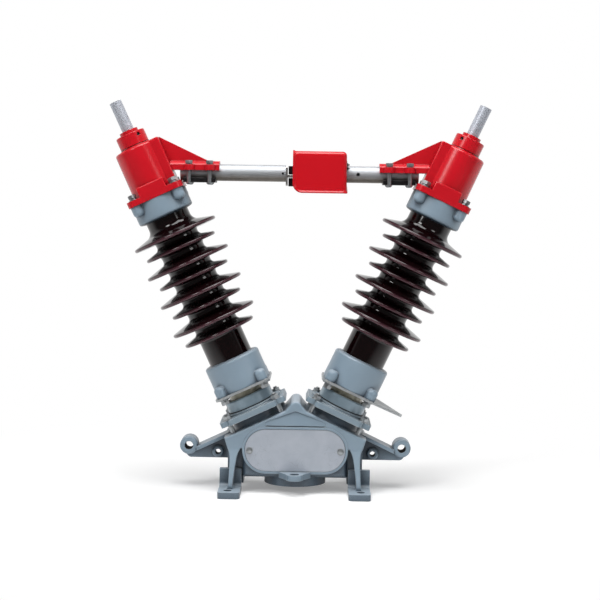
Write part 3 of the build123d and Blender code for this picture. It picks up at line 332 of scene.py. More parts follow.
def hexagon(across_flats, height, dish=0.0):
    """Nut or bolt head: its radius is half its flats over the cosine of the angle from a flat's middle.

    Outside a circle just inside the flats, the top falls away at 30 degrees.
    """
    steps = 48
    angle = np.linspace(0, 2 * np.pi, steps, endpoint=False)
    from_flat = (angle + np.pi / 6) % (np.pi / 3) - np.pi / 6
    edge = across_flats / 2 / np.cos(from_flat)
    none = np.zeros(steps)
    inner = none + 0.95 * across_flats / 2
    fall = (edge - inner) * math.tan(math.pi / 6)
    radius = np.stack([none, edge, edge, inner, 0.86 * inner, none])
    level = np.stack([none, none, height - fall, none + height, none + height - dish, none + height - dish])
    points = np.stack([radius * np.cos(angle), radius * np.sin(angle), level], -1)
    return points.reshape(-1, 3), quads(len(radius), steps)


def washer(outer, inner, thickness):
    edge = 0.15 * thickness
    return lathe([(inner, 0), (outer - edge, 0), (outer, edge), (outer, thickness - edge),
                  (outer - edge, thickness), (inner, thickness), (inner, 0)])


def spring_washer(bolt, section):
    """Square section carried once round the bolt, and up by a third of itself, with a gap at its ends."""
    steps = 40
    angle = np.radians(np.linspace(6, 354, steps))
    lift = (angle / (2 * np.pi)) * section / 3
    inner = bolt / 2 + 0.2
    corners = ((inner, 0), (inner + section, 0), (inner + section, section), (inner, section))
    points = np.stack([np.stack([r * np.cos(angle), r * np.sin(angle), h + lift], -1)
                       for r, h in corners], 1)
    faces = quads(steps, 4)
    ends = np.array([(0, 1, 2, 3), (3, 2, 1, 0)]) + np.array([[0], [4 * (steps - 1)]])
    return points.reshape(-1, 3), np.concatenate([faces, ends])


def thread(diameter, pitch, bottom, top, steps=32):
    """Bar with a sawtooth outline whose tooth is a pitch high, closed by a chamfered end."""
    count = max(int((top - bottom - 1.0) / pitch), 1)
    level = bottom + pitch * np.arange(count + 1)
    crest, root = diameter / 2, diameter / 2 - 0.55 * pitch
    teeth = np.stack([np.stack([np.full(count + 1, root), level], -1),
                      np.stack([np.full(count + 1, crest), level + pitch / 2], -1)], 1).reshape(-1, 2)
    teeth = teeth[teeth[:, 1] < top - 1.0]
    end = [(crest - 0.3, top - 1.0), (crest - 1.3, top), (0, top)]
    return lathe(np.concatenate([[(0, bottom)], teeth, end]), steps)


def shank(radius, bottom, top):
    return lathe([(0, bottom), (radius, bottom), (radius, top), (0, top)], 32)


def square_pattern(half):
    return [(a, b) for a in (-half, half) for b in (-half, half)]


worn, place = new_material("worn_enamel_on_bearing_seat")
blotch = add_node(worn, "TexNoise", {"Vector": place, "Scale": 70.0, "Detail": 4.0, "Roughness": 0.6})
tone = add_node(worn, "MixRGB", {"Fac": blotch, "Color1": linear("71838F"), "Color2": linear("8797A3")})
# Painted shade: the seat darkens in its corners and in the gap over the base, looking round 25 mm
tone = shaded_corners(worn, tone, 0.025, "2C353C", shut=0.35, clear=0.85, most=0.6)
soft_edge, rub = rubbed_edges(worn, 0.0022, smooth=0.985, sharp=0.87, most=1.5)
rub = add_node(worn, "Math", {0: rub, 1: blotch}, operation="MULTIPLY", use_clamp=True)
tone = add_node(worn, "MixRGB", {"Fac": rub, "Color1": tone, "Color2": linear("C6CACB")})
metal = add_node(worn, "Math", {0: rub, 1: 0.8}, operation="MULTIPLY")
relief = add_node(worn, "Bump", {"Height": blotch, "Strength": 0.4, "Distance": 0.0012,
                                 "Normal": soft_edge})
give_surface(worn, {"Base Color": tone, "Metallic": metal, "Roughness": 0.42, "Normal": relief})
dress(worn, "left_bearing_seat", "right_bearing_seat")

stud = join(shank(6, 0, SEAT_S - PAD_S),
            moved(washer(10.6, 5.2, 1.6), 0, 0, SEAT_TOP_S - PAD_S),
            moved(hexagon(17.0, 8.4), 0, 0, SEAT_TOP_S - PAD_S + 1.6),
            moved(thread(10.0, 1.5, 9.0, 14.0), 0, 0, SEAT_TOP_S - PAD_S))
for name, side in SIDES.items():
    add_piece(f"{name}_seat_studs", join(*[on_post(side, stud, a, b, PAD_S)
                                           for a, b in square_pattern(STUD_HALF)]),
              zinc, "base", [f"{name}_levelling_studs"])

# A round boss on the base stands under each seat, round the spindle's bearing
boss = lathe([(31, 204), (62, 204), (60, 206), (58.5, 209), (58, 212), (58, 223), (57, 224.6), (31, 224.6),
              (31, 204)], 96)
for name, side in SIDES.items():
    add_piece(f"{name}_bearing_boss", on_post(side, boss, 0, 0, 0), enamel, "base")

# ---- Turntables ---------------------------------------------------------
# Each turntable is one turned casting: an enamelled hub over the bearing, and a
# machined neck that carries the old yellowed grease wiped off the bearing.
hub, place = new_material("enamelled_hub_with_greasy_neck")
grain = add_node(hub, "TexNoise", {"Vector": place, "Scale": 90.0, "Detail": 4.0})
paint = add_node(hub, "MixRGB", {"Fac": grain, "Color1": linear("7F939F"), "Color2": linear("94A5B0")})
grease = add_node(hub, "MixRGB", {"Fac": grain, "Color1": linear("6E6A58"), "Color2": linear("C2C0AF")})
# Height up the leaning axis is |x| sin t + z cos t, the same for both posts
both = add_node(hub, "VectorMath", {0: place}, operation="ABSOLUTE")
up = add_node(hub, "VectorMath", {0: both, 1: (math.sin(TILT), 0.0, math.cos(TILT))},
              operation="DOT_PRODUCT")
HUB_TOP_S = 270.3
hub_top = (HUB_TOP_S + MEET_Z * math.cos(TILT)) / 1000
neck = add_node(hub, "MapRange", {"Value": up.outputs["Value"], "From Min": hub_top - 0.0012,
                                  "From Max": hub_top + 0.0004})
tone = add_node(hub, "MixRGB", {"Fac": neck, "Color1": paint, "Color2": grease})
# Painted shade: the hub darkens in its corners, looking round 10 mm
tone = shaded_corners(hub, tone, 0.010, "33322E", shut=0.25, clear=0.8, most=0.7)
soft_edge = add_node(hub, "Bevel", {"Radius": 0.0018}, samples=6)
relief = add_node(hub, "Bump", {"Height": grain, "Strength": 0.25, "Distance": 0.0006,
                                "Normal": soft_edge})
give_surface(hub, {"Base Color": tone, "Metallic": 0.2, "Roughness": 0.27, "Normal": relief})
dress(hub, "left_turntable", "right_turntable")

# A black ring stands in the running gap under each hub; its black is painted shade in the gap
gap_black, place = new_material("black_gap_shade_ring")
mottle = add_node(gap_black, "TexNoise", {"Vector": place, "Scale": 140.0, "Detail": 3.0})
tone = add_node(gap_black, "MixRGB", {"Fac": mottle, "Color1": linear("0C0C0C"), "Color2": linear("262524")})
give_surface(gap_black, {"Base Color": tone, "Roughness": 0.6, "Specular IOR Level": 0.3})
gap_ring = lathe([(55.6, 243.1), (57.6, 243.1), (57.9, 243.8), (57.3, 245.0), (55.6, 245.4), (55.6, 243.1)], 96)
for name, side in SIDES.items():
    add_piece(f"{name}_gap_shade_ring", on_post(side, gap_ring, 0, 0, 0), gap_black, f"{name}_pole")

# ---- Adapter plate and drive lever --------------------------------------
# Laser-cut steel, hot-dip galvanised: grey zinc crystals about 8 mm across, and
# a skin of zinc that rounds the edges.
galvanised, place = new_material("hot_dip_galvanised_steel")
crystal = add_node(galvanised, "TexVoronoi", {"Vector": place, "Scale": 125.0})
cloud = add_node(galvanised, "TexNoise", {"Vector": place, "Scale": 60.0, "Detail": 3.0})
spangle = add_node(galvanised, "MixRGB", {"Fac": 0.5, "Color1": crystal.outputs["Color"],
                                          "Color2": cloud.outputs["Color"]})
grey = add_node(galvanised, "RGBToBW", {"Color": spangle.outputs["Color"]})
tone = add_node(galvanised, "MixRGB", {"Fac": grey, "Color1": linear("8E9295"),
                                       "Color2": linear("C2C5C6")})
soft_edge = add_node(galvanised, "Bevel", {"Radius": 0.001}, samples=6)
relief = add_node(galvanised, "Bump", {"Height": cloud, "Strength": 0.3,
                                       "Distance": 0.0008, "Normal": soft_edge})
gloss = add_node(galvanised, "MapRange", {"Value": grey, "To Min": 0.36, "To Max": 0.52})
give_surface(galvanised, {"Base Color": tone, "Metallic": 0.5, "Roughness": gloss, "Normal": relief})
dress(galvanised, "left_adapter_plate", "drive_lever")

# M12 bolts through the plate into the lower cap, heads down, each with a plain
# and a spring washer
BOLT_HALF = 49.5
PLATE_S, CAP_TOP_S, FLANGE = 284.0, 767.0, 14.0
bolt = join(washer(12.0, 6.3, 2.2), moved(spring_washer(12.0, 2.8), 0, 0, 2.2),
            moved(hexagon(18.0, 7.6, 0.5), 0, 0, 6.0),
            shank(6, -24, 7))
for name, side in SIDES.items():
    add_piece(f"{name}_plate_bolts", join(*[on_post(side, bolt, a, b, PLATE_S, -1)
                                            for a, b in square_pattern(BOLT_HALF)]),
              zinc, f"{name}_pole", [f"{name}_cap_bolts"])

# ---- Insulators ---------------------------------------------------------
# Electrical porcelain, turned from the clay with four large and four small
# sheds, and fired under a brown glaze. The glaze is wet-looking and nearly black
# where it is thick; along the rims it turns a purplish red-brown, partly where the
# glaze runs thin and partly as a painted highlight.
CORE_RADIUS, LARGE_RADIUS, SMALL_RADIUS = 51.5, 101.0, 85.5
POST_BOTTOM_S, POST_TOP_S, TOP_RIM_S = 305.0, 751.0, 672.0
SHED_PITCH, SMALL_DROP = 71.5, 32.0
ROOT_ROUNDING, RIM_ROUNDING, NECK_FLARE = 9.0, 4.6, 18.0
SHED_RIMS = np.array([(radius, TOP_RIM_S - SHED_PITCH * pair - drop) for pair in (3, 2, 1, 0)
                      for radius, drop in ((SMALL_RADIUS, SMALL_DROP), (LARGE_RADIUS, 0.0))])


def rounded(points, radii, steps):
    """Outline with an arc in each corner.

    The arc starts r tan(turn / 2) before the corner, its centre lies r to the side that the outline turns
    to, and its points follow at even angles.
    """
    points, radii = np.asarray(points, float), np.asarray(radii, float)[:, None]
    runs = np.diff(points, axis=0)
    runs /= np.linalg.norm(runs, axis=1, keepdims=True)
    before, after = runs[:-1], runs[1:]
    cross = before[:, 0] * after[:, 1] - before[:, 1] * after[:, 0]
    turn = np.arctan2(cross, (before * after).sum(1))[:, None]
    start = points[1:-1] - before * radii * np.tan(np.abs(turn) / 2)
    aside = np.stack([-before[:, 1], before[:, 0]], -1) * np.sign(turn)
    angle = turn * np.linspace(0, 1, steps)
    arm = -aside * radii
    bow = np.stack([arm[:, :1] * np.cos(angle) - arm[:, 1:] * np.sin(angle),
                    arm[:, :1] * np.sin(angle) + arm[:, 1:] * np.cos(angle)], -1)
    arcs = (start - arm)[:, None] + bow
    return np.concatenate([points[:1], arcs.reshape(-1, 2), points[-1:]])


# A shed falls 17 degrees on top and 6 degrees underneath towards its round rim.
# Its corners go from its root underneath, out to the rim, to its root on top.
UNDER_SLOPE, TOP_SLOPE = math.tan(math.radians(6)), math.tan(math.radians(17))
rim_radius, rim_s = SHED_RIMS.T
reach = rim_radius - CORE_RADIUS
core = np.full(len(SHED_RIMS), CORE_RADIUS)
radii = np.stack([core, rim_radius, rim_radius, core], -1)
levels = np.stack([rim_s - 3.5 + reach * UNDER_SLOPE, rim_s - 3.5, rim_s + 4.8,
                   rim_s + 3.5 + reach * TOP_SLOPE], -1)
sheds = np.stack([radii, levels], -1).reshape(-1, 2)
outline = np.concatenate([[(0, POST_BOTTOM_S), (CORE_RADIUS, POST_BOTTOM_S)], sheds,
                          [(CORE_RADIUS, POST_TOP_S), (0, POST_TOP_S)]])
shed_rounding = [ROOT_ROUNDING, RIM_ROUNDING, RIM_ROUNDING, ROOT_ROUNDING]
corner_radii = [1.0] + shed_rounding * len(SHED_RIMS) + [1.0]
# The neck flares out to the top shed
corner_radii[-2] = NECK_FLARE
post = lathe(rounded(outline, corner_radii, 9), 144)

glaze, place = new_material("brown_glazed_porcelain")
cloud = add_node(glaze, "TexNoise", {"Vector": place, "Scale": 45.0, "Detail": 3.0})
tone = add_node(glaze, "MixRGB", {"Fac": cloud, "Color1": linear("090203"), "Color2": linear("150607")})
# Along the rims the tone turns purplish red-brown: partly thin glaze, partly a painted highlight
rim = add_node(glaze, "Attribute", attribute_name="rim")
tone = add_node(glaze, "MixRGB", {"Fac": rim.outputs["Fac"], "Color1": tone, "Color2": linear("4A2A32")})
ripple = add_node(glaze, "TexNoise", {"Vector": place, "Scale": 70.0, "Detail": 1.0})
relief = add_node(glaze, "Bump", {"Height": ripple, "Strength": 0.12, "Distance": 0.0008})
give_surface(glaze, {"Base Color": tone, "Roughness": 0.09, "IOR": 1.48, "Normal": relief})

for name, side in SIDES.items():
    piece = add_piece(f"{name}_glazed_post", on_post(side, post, 0, 0, 0), glaze, f"{name}_pole",
                      [f"{name}_insulator"], crease=180)
    # Rim: 1 on a shed's rim, falling off as a bell 4 mm wide around it; it lays on the
    # rims' red-brown of thin glaze and their painted highlight
    mesh = piece.data
    spots = np.empty(3 * len(mesh.vertices))
    mesh.vertices.foreach_get("co", spots)
    x, y, z = spots.reshape(-1, 3).T * 1000
    up = side * x * math.sin(TILT) + (z - MEET_Z) * math.cos(TILT)
    out = np.hypot(-side * x * math.cos(TILT) + (z - MEET_Z) * math.sin(TILT), y)
    away = np.hypot(out[:, None] - SHED_RIMS[:, 0], up[:, None] - SHED_RIMS[:, 1])
    values = np.exp(-(away.min(1) / 4.0) ** 2)
    mesh.attributes.new("rim", "FLOAT", "POINT").data.foreach_set("value", values)

# ---- Contact housings ---------------------------------------------------
# Cast aluminium sprayed with red enamel, thick enough to round the edges and to
# set with a faint orange peel.
red, place = new_material("red_enamel_on_casting")
drift = add_node(red, "TexNoise", {"Vector": place, "Scale": 18.0, "Detail": 2.0})
tone = add_node(red, "MixRGB", {"Fac": drift, "Color1": linear("B80A1A"), "Color2": linear("CC0F20")})
# Painted shade: the red darkens in the corners of the casting, looking round 10 mm
tone = shaded_corners(red, tone, 0.010, "7E0A16", shut=0.3, clear=0.8, most=0.5)
soft_edge = add_node(red, "Bevel", {"Radius": 0.002}, samples=6)
peel = add_node(red, "TexNoise", {"Vector": place, "Scale": 320.0, "Detail": 1.0})
dent = add_node(red, "TexNoise", {"Vector": place, "Scale": 40.0, "Detail": 1.0})
heights = add_node(red, "Math", {0: peel, 1: 0.12, 2: dent}, operation="MULTIPLY_ADD")
relief = add_node(red, "Bump", {"Height": heights, "Strength": 0.25, "Distance": 0.0008,
                                "Normal": soft_edge})
give_surface(red, {"Base Color": tone, "Roughness": 0.24, "IOR": 1.5, "Normal": relief})
dress(red, *[f"{side}_{part}" for side in SIDES for part in ("contact_housing", "terminal_collar")])


def slab(corners, half):
    """Four corners (across, up) carried from half behind the post to half in front of it."""
    outline = np.asarray(corners, float)
    points = np.stack([np.insert(outline, 1, front, axis=1) for front in (-half, half)])
    ends = np.array([(0, 1, 2, 3), (7, 6, 5, 4)])
    return points.reshape(-1, 3), np.concatenate([ends, quads(2, 4)])


def round_edges(piece, name, width, segments, corners_over=30):
    """Rounds the edges that turn by more than this many degrees."""
    edge = piece.modifiers.new(name, "BEVEL")
    edge.limit_method = "ANGLE"
    edge.angle_limit = math.radians(corners_over)
    edge.width = width
    edge.segments = segments


# The casting's square inner shoulder carries the web, and flush pads stand at the
# foot of its front and back
shoulder = slab([(30, 779), (57.0, 779), (58.6, 892.6), (30, 892.6)], 36.5)
foot_pads = slab([(-33, 768), (33, 768), (33, 803), (-33, 803)], 67.2)
for name, side in SIDES.items():
    piece = add_piece(f"{name}_housing_blocks", on_post(side, join(shoulder, foot_pads), 0, 0, 0), red,
                      f"{name}_pole")
    round_edges(piece, "edge", 0.0025, 3)

bolt = join(washer(12.0, 6.3, 2.0), moved(spring_washer(12.0, 2.6), 0, 0, 2.0),
            moved(hexagon(18.0, 7.6, 0.5), 0, 0, 5.6),
            shank(6, -FLANGE - 10, 6.5))
for name, side in SIDES.items():
    add_piece(f"{name}_flange_bolts", join(*[on_post(side, bolt, a, b, CAP_TOP_S + FLANGE)
                                             for a, b in square_pattern(BOLT_HALF)]),
              zinc, f"{name}_pole", [f"{name}_housing_bolts"])

# ---- Clamp bars and their bolts -----------------------------------------
# Forged steel bars, blackened and oiled, rubbed grey along the edges. Four M10
# bolts with spring washers pull each bar up against the tube, with domed nuts.
black, place = new_material("blackened_steel")
cloud = add_node(black, "TexNoise", {"Vector": place, "Scale": 110.0, "Detail": 4.0})
tone = add_node(black, "MixRGB", {"Fac": cloud, "Color1": linear("121113"), "Color2": linear("343233")})
soft_edge, rub = rubbed_edges(black, 0.0012, smooth=0.98, sharp=0.8, most=0.8)
tone = add_node(black, "MixRGB", {"Fac": rub, "Color1": tone, "Color2": linear("85827F")})
gloss = add_node(black, "MapRange", {"Value": cloud, "To Min": 0.32, "To Max": 0.5})
give_surface(black, {"Base Color": tone, "Metallic": 0.7, "Roughness": gloss, "Normal": soft_edge})
dress(black, "upper_finger", "lower_finger", "finger_block")


def clamp_bar(x_ends, half, bottom, top, centre, radius):
    """Bar across the tube: its top is flat, or the round seat, centre - sqrt(r r - y y), where lower."""
    columns = 41
    y = np.linspace(-half, half, columns)
    seat = centre - np.sqrt(np.maximum(radius ** 2 - y ** 2, 0))
    upper = np.where(np.abs(y) < radius, np.minimum(seat, top), top)
    x, level, y = np.meshgrid(x_ends, (0, 1), y, indexing="ij")
    z = np.where(level > 0, upper, bottom)
    points = np.stack([x, y, z], -1).reshape(-1, 3)
    i = np.arange(columns - 1)
    low_near, top_near, low_far, top_far = (i + k * columns for k in range(4))
    strips = [(top_near, top_far), (low_far, low_near), (low_near, top_near), (top_far, low_far)]
    faces = [np.stack([a, b, b + 1, a + 1], -1) for a, b in strips]
    sides = np.array([(0, 1, 3, 2)]) * columns + np.array([[0], [columns - 1]])
    return points, np.concatenate(faces + [sides])


ARM_Z, TUBE_RADIUS = 729.0, 19.0
CLAMP_X, CLAMP_Y, SADDLE_TOP_Z, BAR_BOTTOM_Z, BAR_TOP_Z = (205.0, 252.0), 28.0, 746.5, 706.0, 716.5
BAR_X, BAR_HALF = (191.0, 265.0), 30.0
for name, side in SIDES.items():
    bar = clamp_bar([side * x for x in BAR_X], BAR_HALF, BAR_BOTTOM_Z, BAR_TOP_Z, ARM_Z, TUBE_RADIUS + 0.2)
    piece = add_piece(f"{name}_forged_bar", bar, black, f"{name}_pole",
                      [f"{name}_clamp_bar"])
    round_edges(piece, "edge", 0.001, 2, corners_over=50)

# Each bolt goes down through saddle and bar, and its nut sits against the bar from below
GRIP = SADDLE_TOP_Z - BAR_BOTTOM_Z
dome = lathe([(0, 0), (5.6, 0), (5.6, 1.0), (4.8, 2.2), (3.0, 3.0), (0, 3.3)], 32)
nut = join(hexagon(13.5, 2.6), moved(dome, 0, 0, 2.2))
bolt = join(spring_washer(10.0, 2.2), moved(hexagon(16.0, 6.2, 0.4), 0, 0, 3.1), shank(5, -GRIP, 3.6),
            moved((nut[0] * (1, 1, -1), nut[1]), 0, 0, -GRIP))
for name, side in SIDES.items():
    add_piece(f"{name}_saddle_bolts", join(*[moved(bolt, side * x, y, SADDLE_TOP_Z)
                                             for x in CLAMP_X for y in (-CLAMP_Y, CLAMP_Y)]),
              zinc, f"{name}_pole", [f"{name}_clamp_bolts"])

# ---- Arm tubes and contact blade ----------------------------------------
# Drawn aluminium tube, bright on top with fine draw lines along it; its underside
# is painted a darker brownish grey as shade.
tube, place = new_material("drawn_aluminium_tube")
# Draw lines are 0.2 mm apart and drawn at 2 mm
stretch = add_node(tube, "Mapping", {"Vector": place, "Scale": (8.0, 500.0, 500.0)})
lines = add_node(tube, "TexNoise", {"Vector": stretch, "Scale": 1.0, "Detail": 3.0})
cloud = add_node(tube, "TexNoise", {"Vector": place, "Scale": 38.0, "Detail": 4.0})
bright = add_node(tube, "MixRGB", {"Fac": lines, "Color1": linear("A9ACB0"), "Color2": linear("C4C7CB")})
underside_shade_tone = add_node(tube, "MixRGB", {"Fac": cloud, "Color1": linear("5A5249"), "Color2": linear("857D72")})
parts = add_node(tube, "SeparateXYZ", {"Vector": place})
# Painted shade: the tube turns darker and brownish below its axis
low = add_node(tube, "Math", {0: cloud, 1: 0.006, 2: parts.outputs["Z"]}, operation="MULTIPLY_ADD")
low = add_node(tube, "MapRange", {"Value": low, "From Min": (ARM_Z + 3) / 1000,
                                  "From Max": (ARM_Z - 10) / 1000, "To Min": 0.0, "To Max": 0.9},
               interpolation_type="SMOOTHSTEP")
tone = add_node(tube, "MixRGB", {"Fac": low, "Color1": bright, "Color2": underside_shade_tone})
gloss = add_node(tube, "MapRange", {"Value": low, "To Min": 0.54, "To Max": 0.48})
relief = add_node(tube, "Bump", {"Height": lines, "Strength": 0.1, "Distance": 0.0002})
give_surface(tube, {"Base Color": tone, "Metallic": 0.7, "Roughness": gloss, "Normal": relief})
dress(tube, "left_arm_tube", "right_arm_tube")

# The blade and its end plate are copper, tinned to a soft grey-white
tin, place = new_material("tinned_copper")
cloud = add_node(tin, "TexNoise", {"Vector": place, "Scale": 130.0, "Detail": 4.0})
tone = add_node(tin, "MixRGB", {"Fac": cloud, "Color1": linear("A9A8A6"), "Color2": linear("D2D1CF")})
soft_edge = add_node(tin, "Bevel", {"Radius": 0.0008}, samples=6)
give_surface(tin, {"Base Color": tone, "Metallic": 1.0, "Roughness": 0.38, "Normal": soft_edge})
dress(tin, "contact_blade")

# A locking screw in the front of the left tube holds the blade's root
LOCK_SCREW_X = -38.0
screw = facing_front(lathe([(0, -1.0), (2.6, -1.0), (2.6, 0.9), (2.1, 1.4), (0, 1.6)], 24))
add_piece("tube_lock_screw", moved(screw, LOCK_SCREW_X, -TUBE_RADIUS, ARM_Z), black, "left_pole")

# ---- Rain hood ----------------------------------------------------------
# Injection-moulded red plastic, 2.2 mm thick and glossy: one skin runs forward
# over the contacts, folds down in front and turns in at the right end, where the
# tube passes. A lip follows its left and lower edges.
LEFT_X, RIGHT_X, TOP_Z, BOTTOM_Z, HALF_DEPTH = -15.0, 108.0, 780.0, 685.0, 45.0
FOLD, CORNER, LIP_STAND, LIP_WIDTH = 10.0, 22.0, 2.5, 2.6
HOLE_RADIUS = TUBE_RADIUS + 0.3


def hood_skin():
    """Outside of the hood, and its end wall.

    A point is one of an inner box plus the fold's radius along n = (sin a, -cos a sin b, cos a cos b): a
    turns at the right end, b at the fold. The lower left corner square is pressed into a quarter disc by
    (u sqrt(1 - v v / 2), v sqrt(1 - u u / 2)). At the distance e from the free edge the lip stands out by
    exp(-((e - 2) / its width) ^ 2) of its height.
    """
    lip = np.linspace(0, 8, 12)
    p = np.concatenate([lip, np.linspace(10, CORNER, 6), np.linspace(30, RIGHT_X - LEFT_X - FOLD, 9)])
    q = np.linspace(0, 2 * HALF_DEPTH - FOLD, 9)
    drop = TOP_Z - FOLD - BOTTOM_Z
    fall = np.concatenate([np.linspace(0, drop - CORNER, 7), np.linspace(drop - CORNER, drop - 10, 7)[1:],
                           drop - lip[::-1]])
    bend = np.radians(np.linspace(0, 90, 11)[1:-1])
    # Rows run from the back of the roof over the fold to the lower edge
    y = np.concatenate([HALF_DEPTH - q, np.full(len(bend) + len(fall), FOLD - HALF_DEPTH)])
    z = np.concatenate([np.full(len(q) + len(bend), TOP_Z - FOLD), TOP_Z - FOLD - fall])
    b = np.concatenate([0 * q, bend, np.full(len(fall), np.pi / 2)])
    to_end = np.concatenate([np.full(len(q) + len(bend), 1e3), drop - fall])
    # Columns run from the left edge to the right end and round it
    x = np.concatenate([LEFT_X + p, np.full(len(bend) + 1, RIGHT_X - FOLD)])
    a = np.concatenate([0 * p, bend, [np.pi / 2]])
    x, y, z, a, b, e = (np.broadcast_to(v, (len(y), len(x))).copy() for v in (
        x, y[:, None], z[:, None], a, b[:, None], to_end[:, None]))
    u = (LEFT_X + CORNER - x) / CORNER
    v = (BOTTOM_Z + CORNER - z) / CORNER
    square = (u > 0) & (v > 0)
    disc_u = u * np.sqrt(1 - v * v / 2, where=square, out=0 * u)
    disc_v = v * np.sqrt(1 - u * u / 2, where=square, out=0 * v)
    x[square] = (LEFT_X + CORNER - CORNER * disc_u)[square]
    z[square] = (BOTTOM_Z + CORNER - CORNER * disc_v)[square]
    e = np.minimum(np.where(b > 0, e, 1e3), x - LEFT_X)
    e[square] = (CORNER - CORNER * np.hypot(disc_u, disc_v))[square]
    n = np.stack([np.sin(a), -np.cos(a) * np.sin(b), np.cos(a) * np.cos(b)], -1)
    stand = FOLD + LIP_STAND * np.exp(-((e - 2) / LIP_WIDTH) ** 2)
    skin = np.stack([x, y, z], -1) + n * stand[..., None]
    rows, columns = skin.shape[:2]
    faces = quads(rows, columns)
    # The skin's grid doesn't close on itself, so the quads past its last column go
    faces = faces[(np.arange(len(faces)) % columns) < columns - 1]

    # End wall: straight lines from its outline in to the hole round the tube
    depth = np.linspace(FOLD - HALF_DEPTH, HALF_DEPTH, 8)[1:]
    bottom = np.stack([0 * depth + RIGHT_X, depth, 0 * depth + BOTTOM_Z], -1)
    rise = np.linspace(BOTTOM_Z, TOP_Z - FOLD, 9)[1:-1]
    back = np.stack([0 * rise + RIGHT_X, 0 * rise + HALF_DEPTH, rise], -1)
    loop = np.concatenate([skin[:, -1], bottom, back])
    angle = np.arctan2(loop[:, 2] - ARM_Z, loop[:, 1])
    hole = np.stack([np.full(len(loop), RIGHT_X), HOLE_RADIUS * np.cos(angle),
                     ARM_Z + HOLE_RADIUS * np.sin(angle)], -1)
    step = np.linspace(0, 1, 5)[:, None, None]
    wall = loop + (hole - loop) * step
    return (skin.reshape(-1, 3), faces), (wall.reshape(-1, 3), quads(5, len(loop)))


def facing_out(shape, inside):
    """Turns a shell's quads round if more of their area looks at the inside point than away from it."""
    points, faces = shape
    corners = points[faces]
    normals = np.cross(corners[:, 2] - corners[:, 0], corners[:, 3] - corners[:, 1])
    if (normals * (corners.mean(1) - inside)).sum() < 0:
        faces = faces[:, ::-1]
    return points, faces


plastic, place = new_material("red_glossy_moulded_plastic")
drift = add_node(plastic, "TexNoise", {"Vector": place, "Scale": 12.0, "Detail": 1.0})
tone = add_node(plastic, "MixRGB", {"Fac": drift, "Color1": linear("C00A18"), "Color2": linear("CA0E1E")})
sink = add_node(plastic, "TexNoise", {"Vector": place, "Scale": 22.0, "Detail": 0.0})
relief = add_node(plastic, "Bump", {"Height": sink, "Strength": 0.15, "Distance": 0.001})
give_surface(plastic, {"Base Color": tone, "Roughness": 0.2, "IOR": 1.5, "Subsurface Weight": 0.04,
                       "Subsurface Scale": 0.002, "Normal": relief})

HOOD_INSIDE = np.array([46.0, 20.0, 715.0])
hood = add_piece("moulded_hood", join(*[facing_out(shape, HOOD_INSIDE) for shape in hood_skin()]), plastic,
                 "right_pole", ["rain_hood"], crease=180, closed=False)
wall = hood.modifiers.new("wall", "SOLIDIFY")
wall.thickness = 0.0022
wall.offset = -1.0
round_edges(hood, "rim", 0.0008, 2, corners_over=50)

# Two small screws in the hood's end wall point to the right: (x, y, z) becomes (z, x, y)
HOOD_SCREW_Y, HOOD_SCREWS_Z = -22.0, (742.0, 750.5)
screw = join(hexagon(7.0, 3.2), moved(thread(4.0, 0.7, 0, 3.6, 20), 0, 0, 3.0), washer(9.0, 4.2, 0.8))
screw = (screw[0][:, [2, 0, 1]], screw[1])
add_piece("hood_screws", join(*[moved(screw, RIGHT_X, HOOD_SCREW_Y, z) for z in HOOD_SCREWS_Z]), black,
          "right_pole")

# ---- Terminals ----------------------------------------------------------
# Aluminium rods, satin and a little clouded by oxide; a black socket set screw in
# each red collar stops the rod from turning.
rod, place = new_material("satin_aluminium_rod")
cloud = add_node(rod, "TexNoise", {"Vector": place, "Scale": 50.0, "Detail": 2.0})
tone = add_node(rod, "MixRGB", {"Fac": cloud, "Color1": linear("A9AEB8"), "Color2": linear("C2C6CE")})
relief = add_node(rod, "Bump", {"Height": cloud, "Strength": 0.1, "Distance": 0.0002})
give_surface(rod, {"Base Color": tone, "Metallic": 0.4, "Roughness": 0.46, "Normal": relief})
dress(rod, "left_terminal_rod", "right_terminal_rod")

SET_SCREW_S, COLLAR_RADIUS, SET_SCREW_ANGLE = 916.5, 34.5, math.radians(38)
socket = lathe([(0, -7.0), (4.0, -7.0), (4.0, -2.2), (3.6, -1.8), (2.2, -1.8), (2.1, -4.2), (0, -4.6)], 24)
# The screw's own axis lies across the post, turned from the front by the angle
u, v, w = socket[0].T
w = w + COLLAR_RADIUS
across = w * math.sin(SET_SCREW_ANGLE) - u * math.cos(SET_SCREW_ANGLE)
front = w * math.cos(SET_SCREW_ANGLE) + u * math.sin(SET_SCREW_ANGLE)
for name, side in SIDES.items():
    screw = on_post(side, (np.stack([across, front, v], -1), socket[1]), 0, 0, SET_SCREW_S)
    add_piece(f"{name}_set_screw", screw, black, f"{name}_terminal")

# ---- Floor, light and camera --------------------------------------------
# White paper floor that runs into a white studio; a soft lamp in front on the
# left, a weaker one on the right, and a larger one overhead.
floor_mesh = bpy.data.meshes.new("floor")
floor_mesh.from_pydata([(-40, -40, 0), (40, -40, 0), (40, 40, 0), (-40, 40, 0)], [], [(0, 1, 2, 3)])
floor = bpy.data.objects.new("floor", floor_mesh)
bpy.context.scene.collection.objects.link(floor)
floor.location.z = -0.0005


def seen_directly(owner):
    """1 where the camera, gloss or glass sees the paper or the studio, and 0 for the light they give."""
    ray = add_node(owner, "LightPath").outputs
    seen = add_node(owner, "Math", {0: ray["Is Camera Ray"], 1: ray["Is Glossy Ray"]}, operation="MAXIMUM")
    return add_node(owner, "Math", {0: seen, 1: ray["Is Transmission Ray"]}, operation="MAXIMUM")


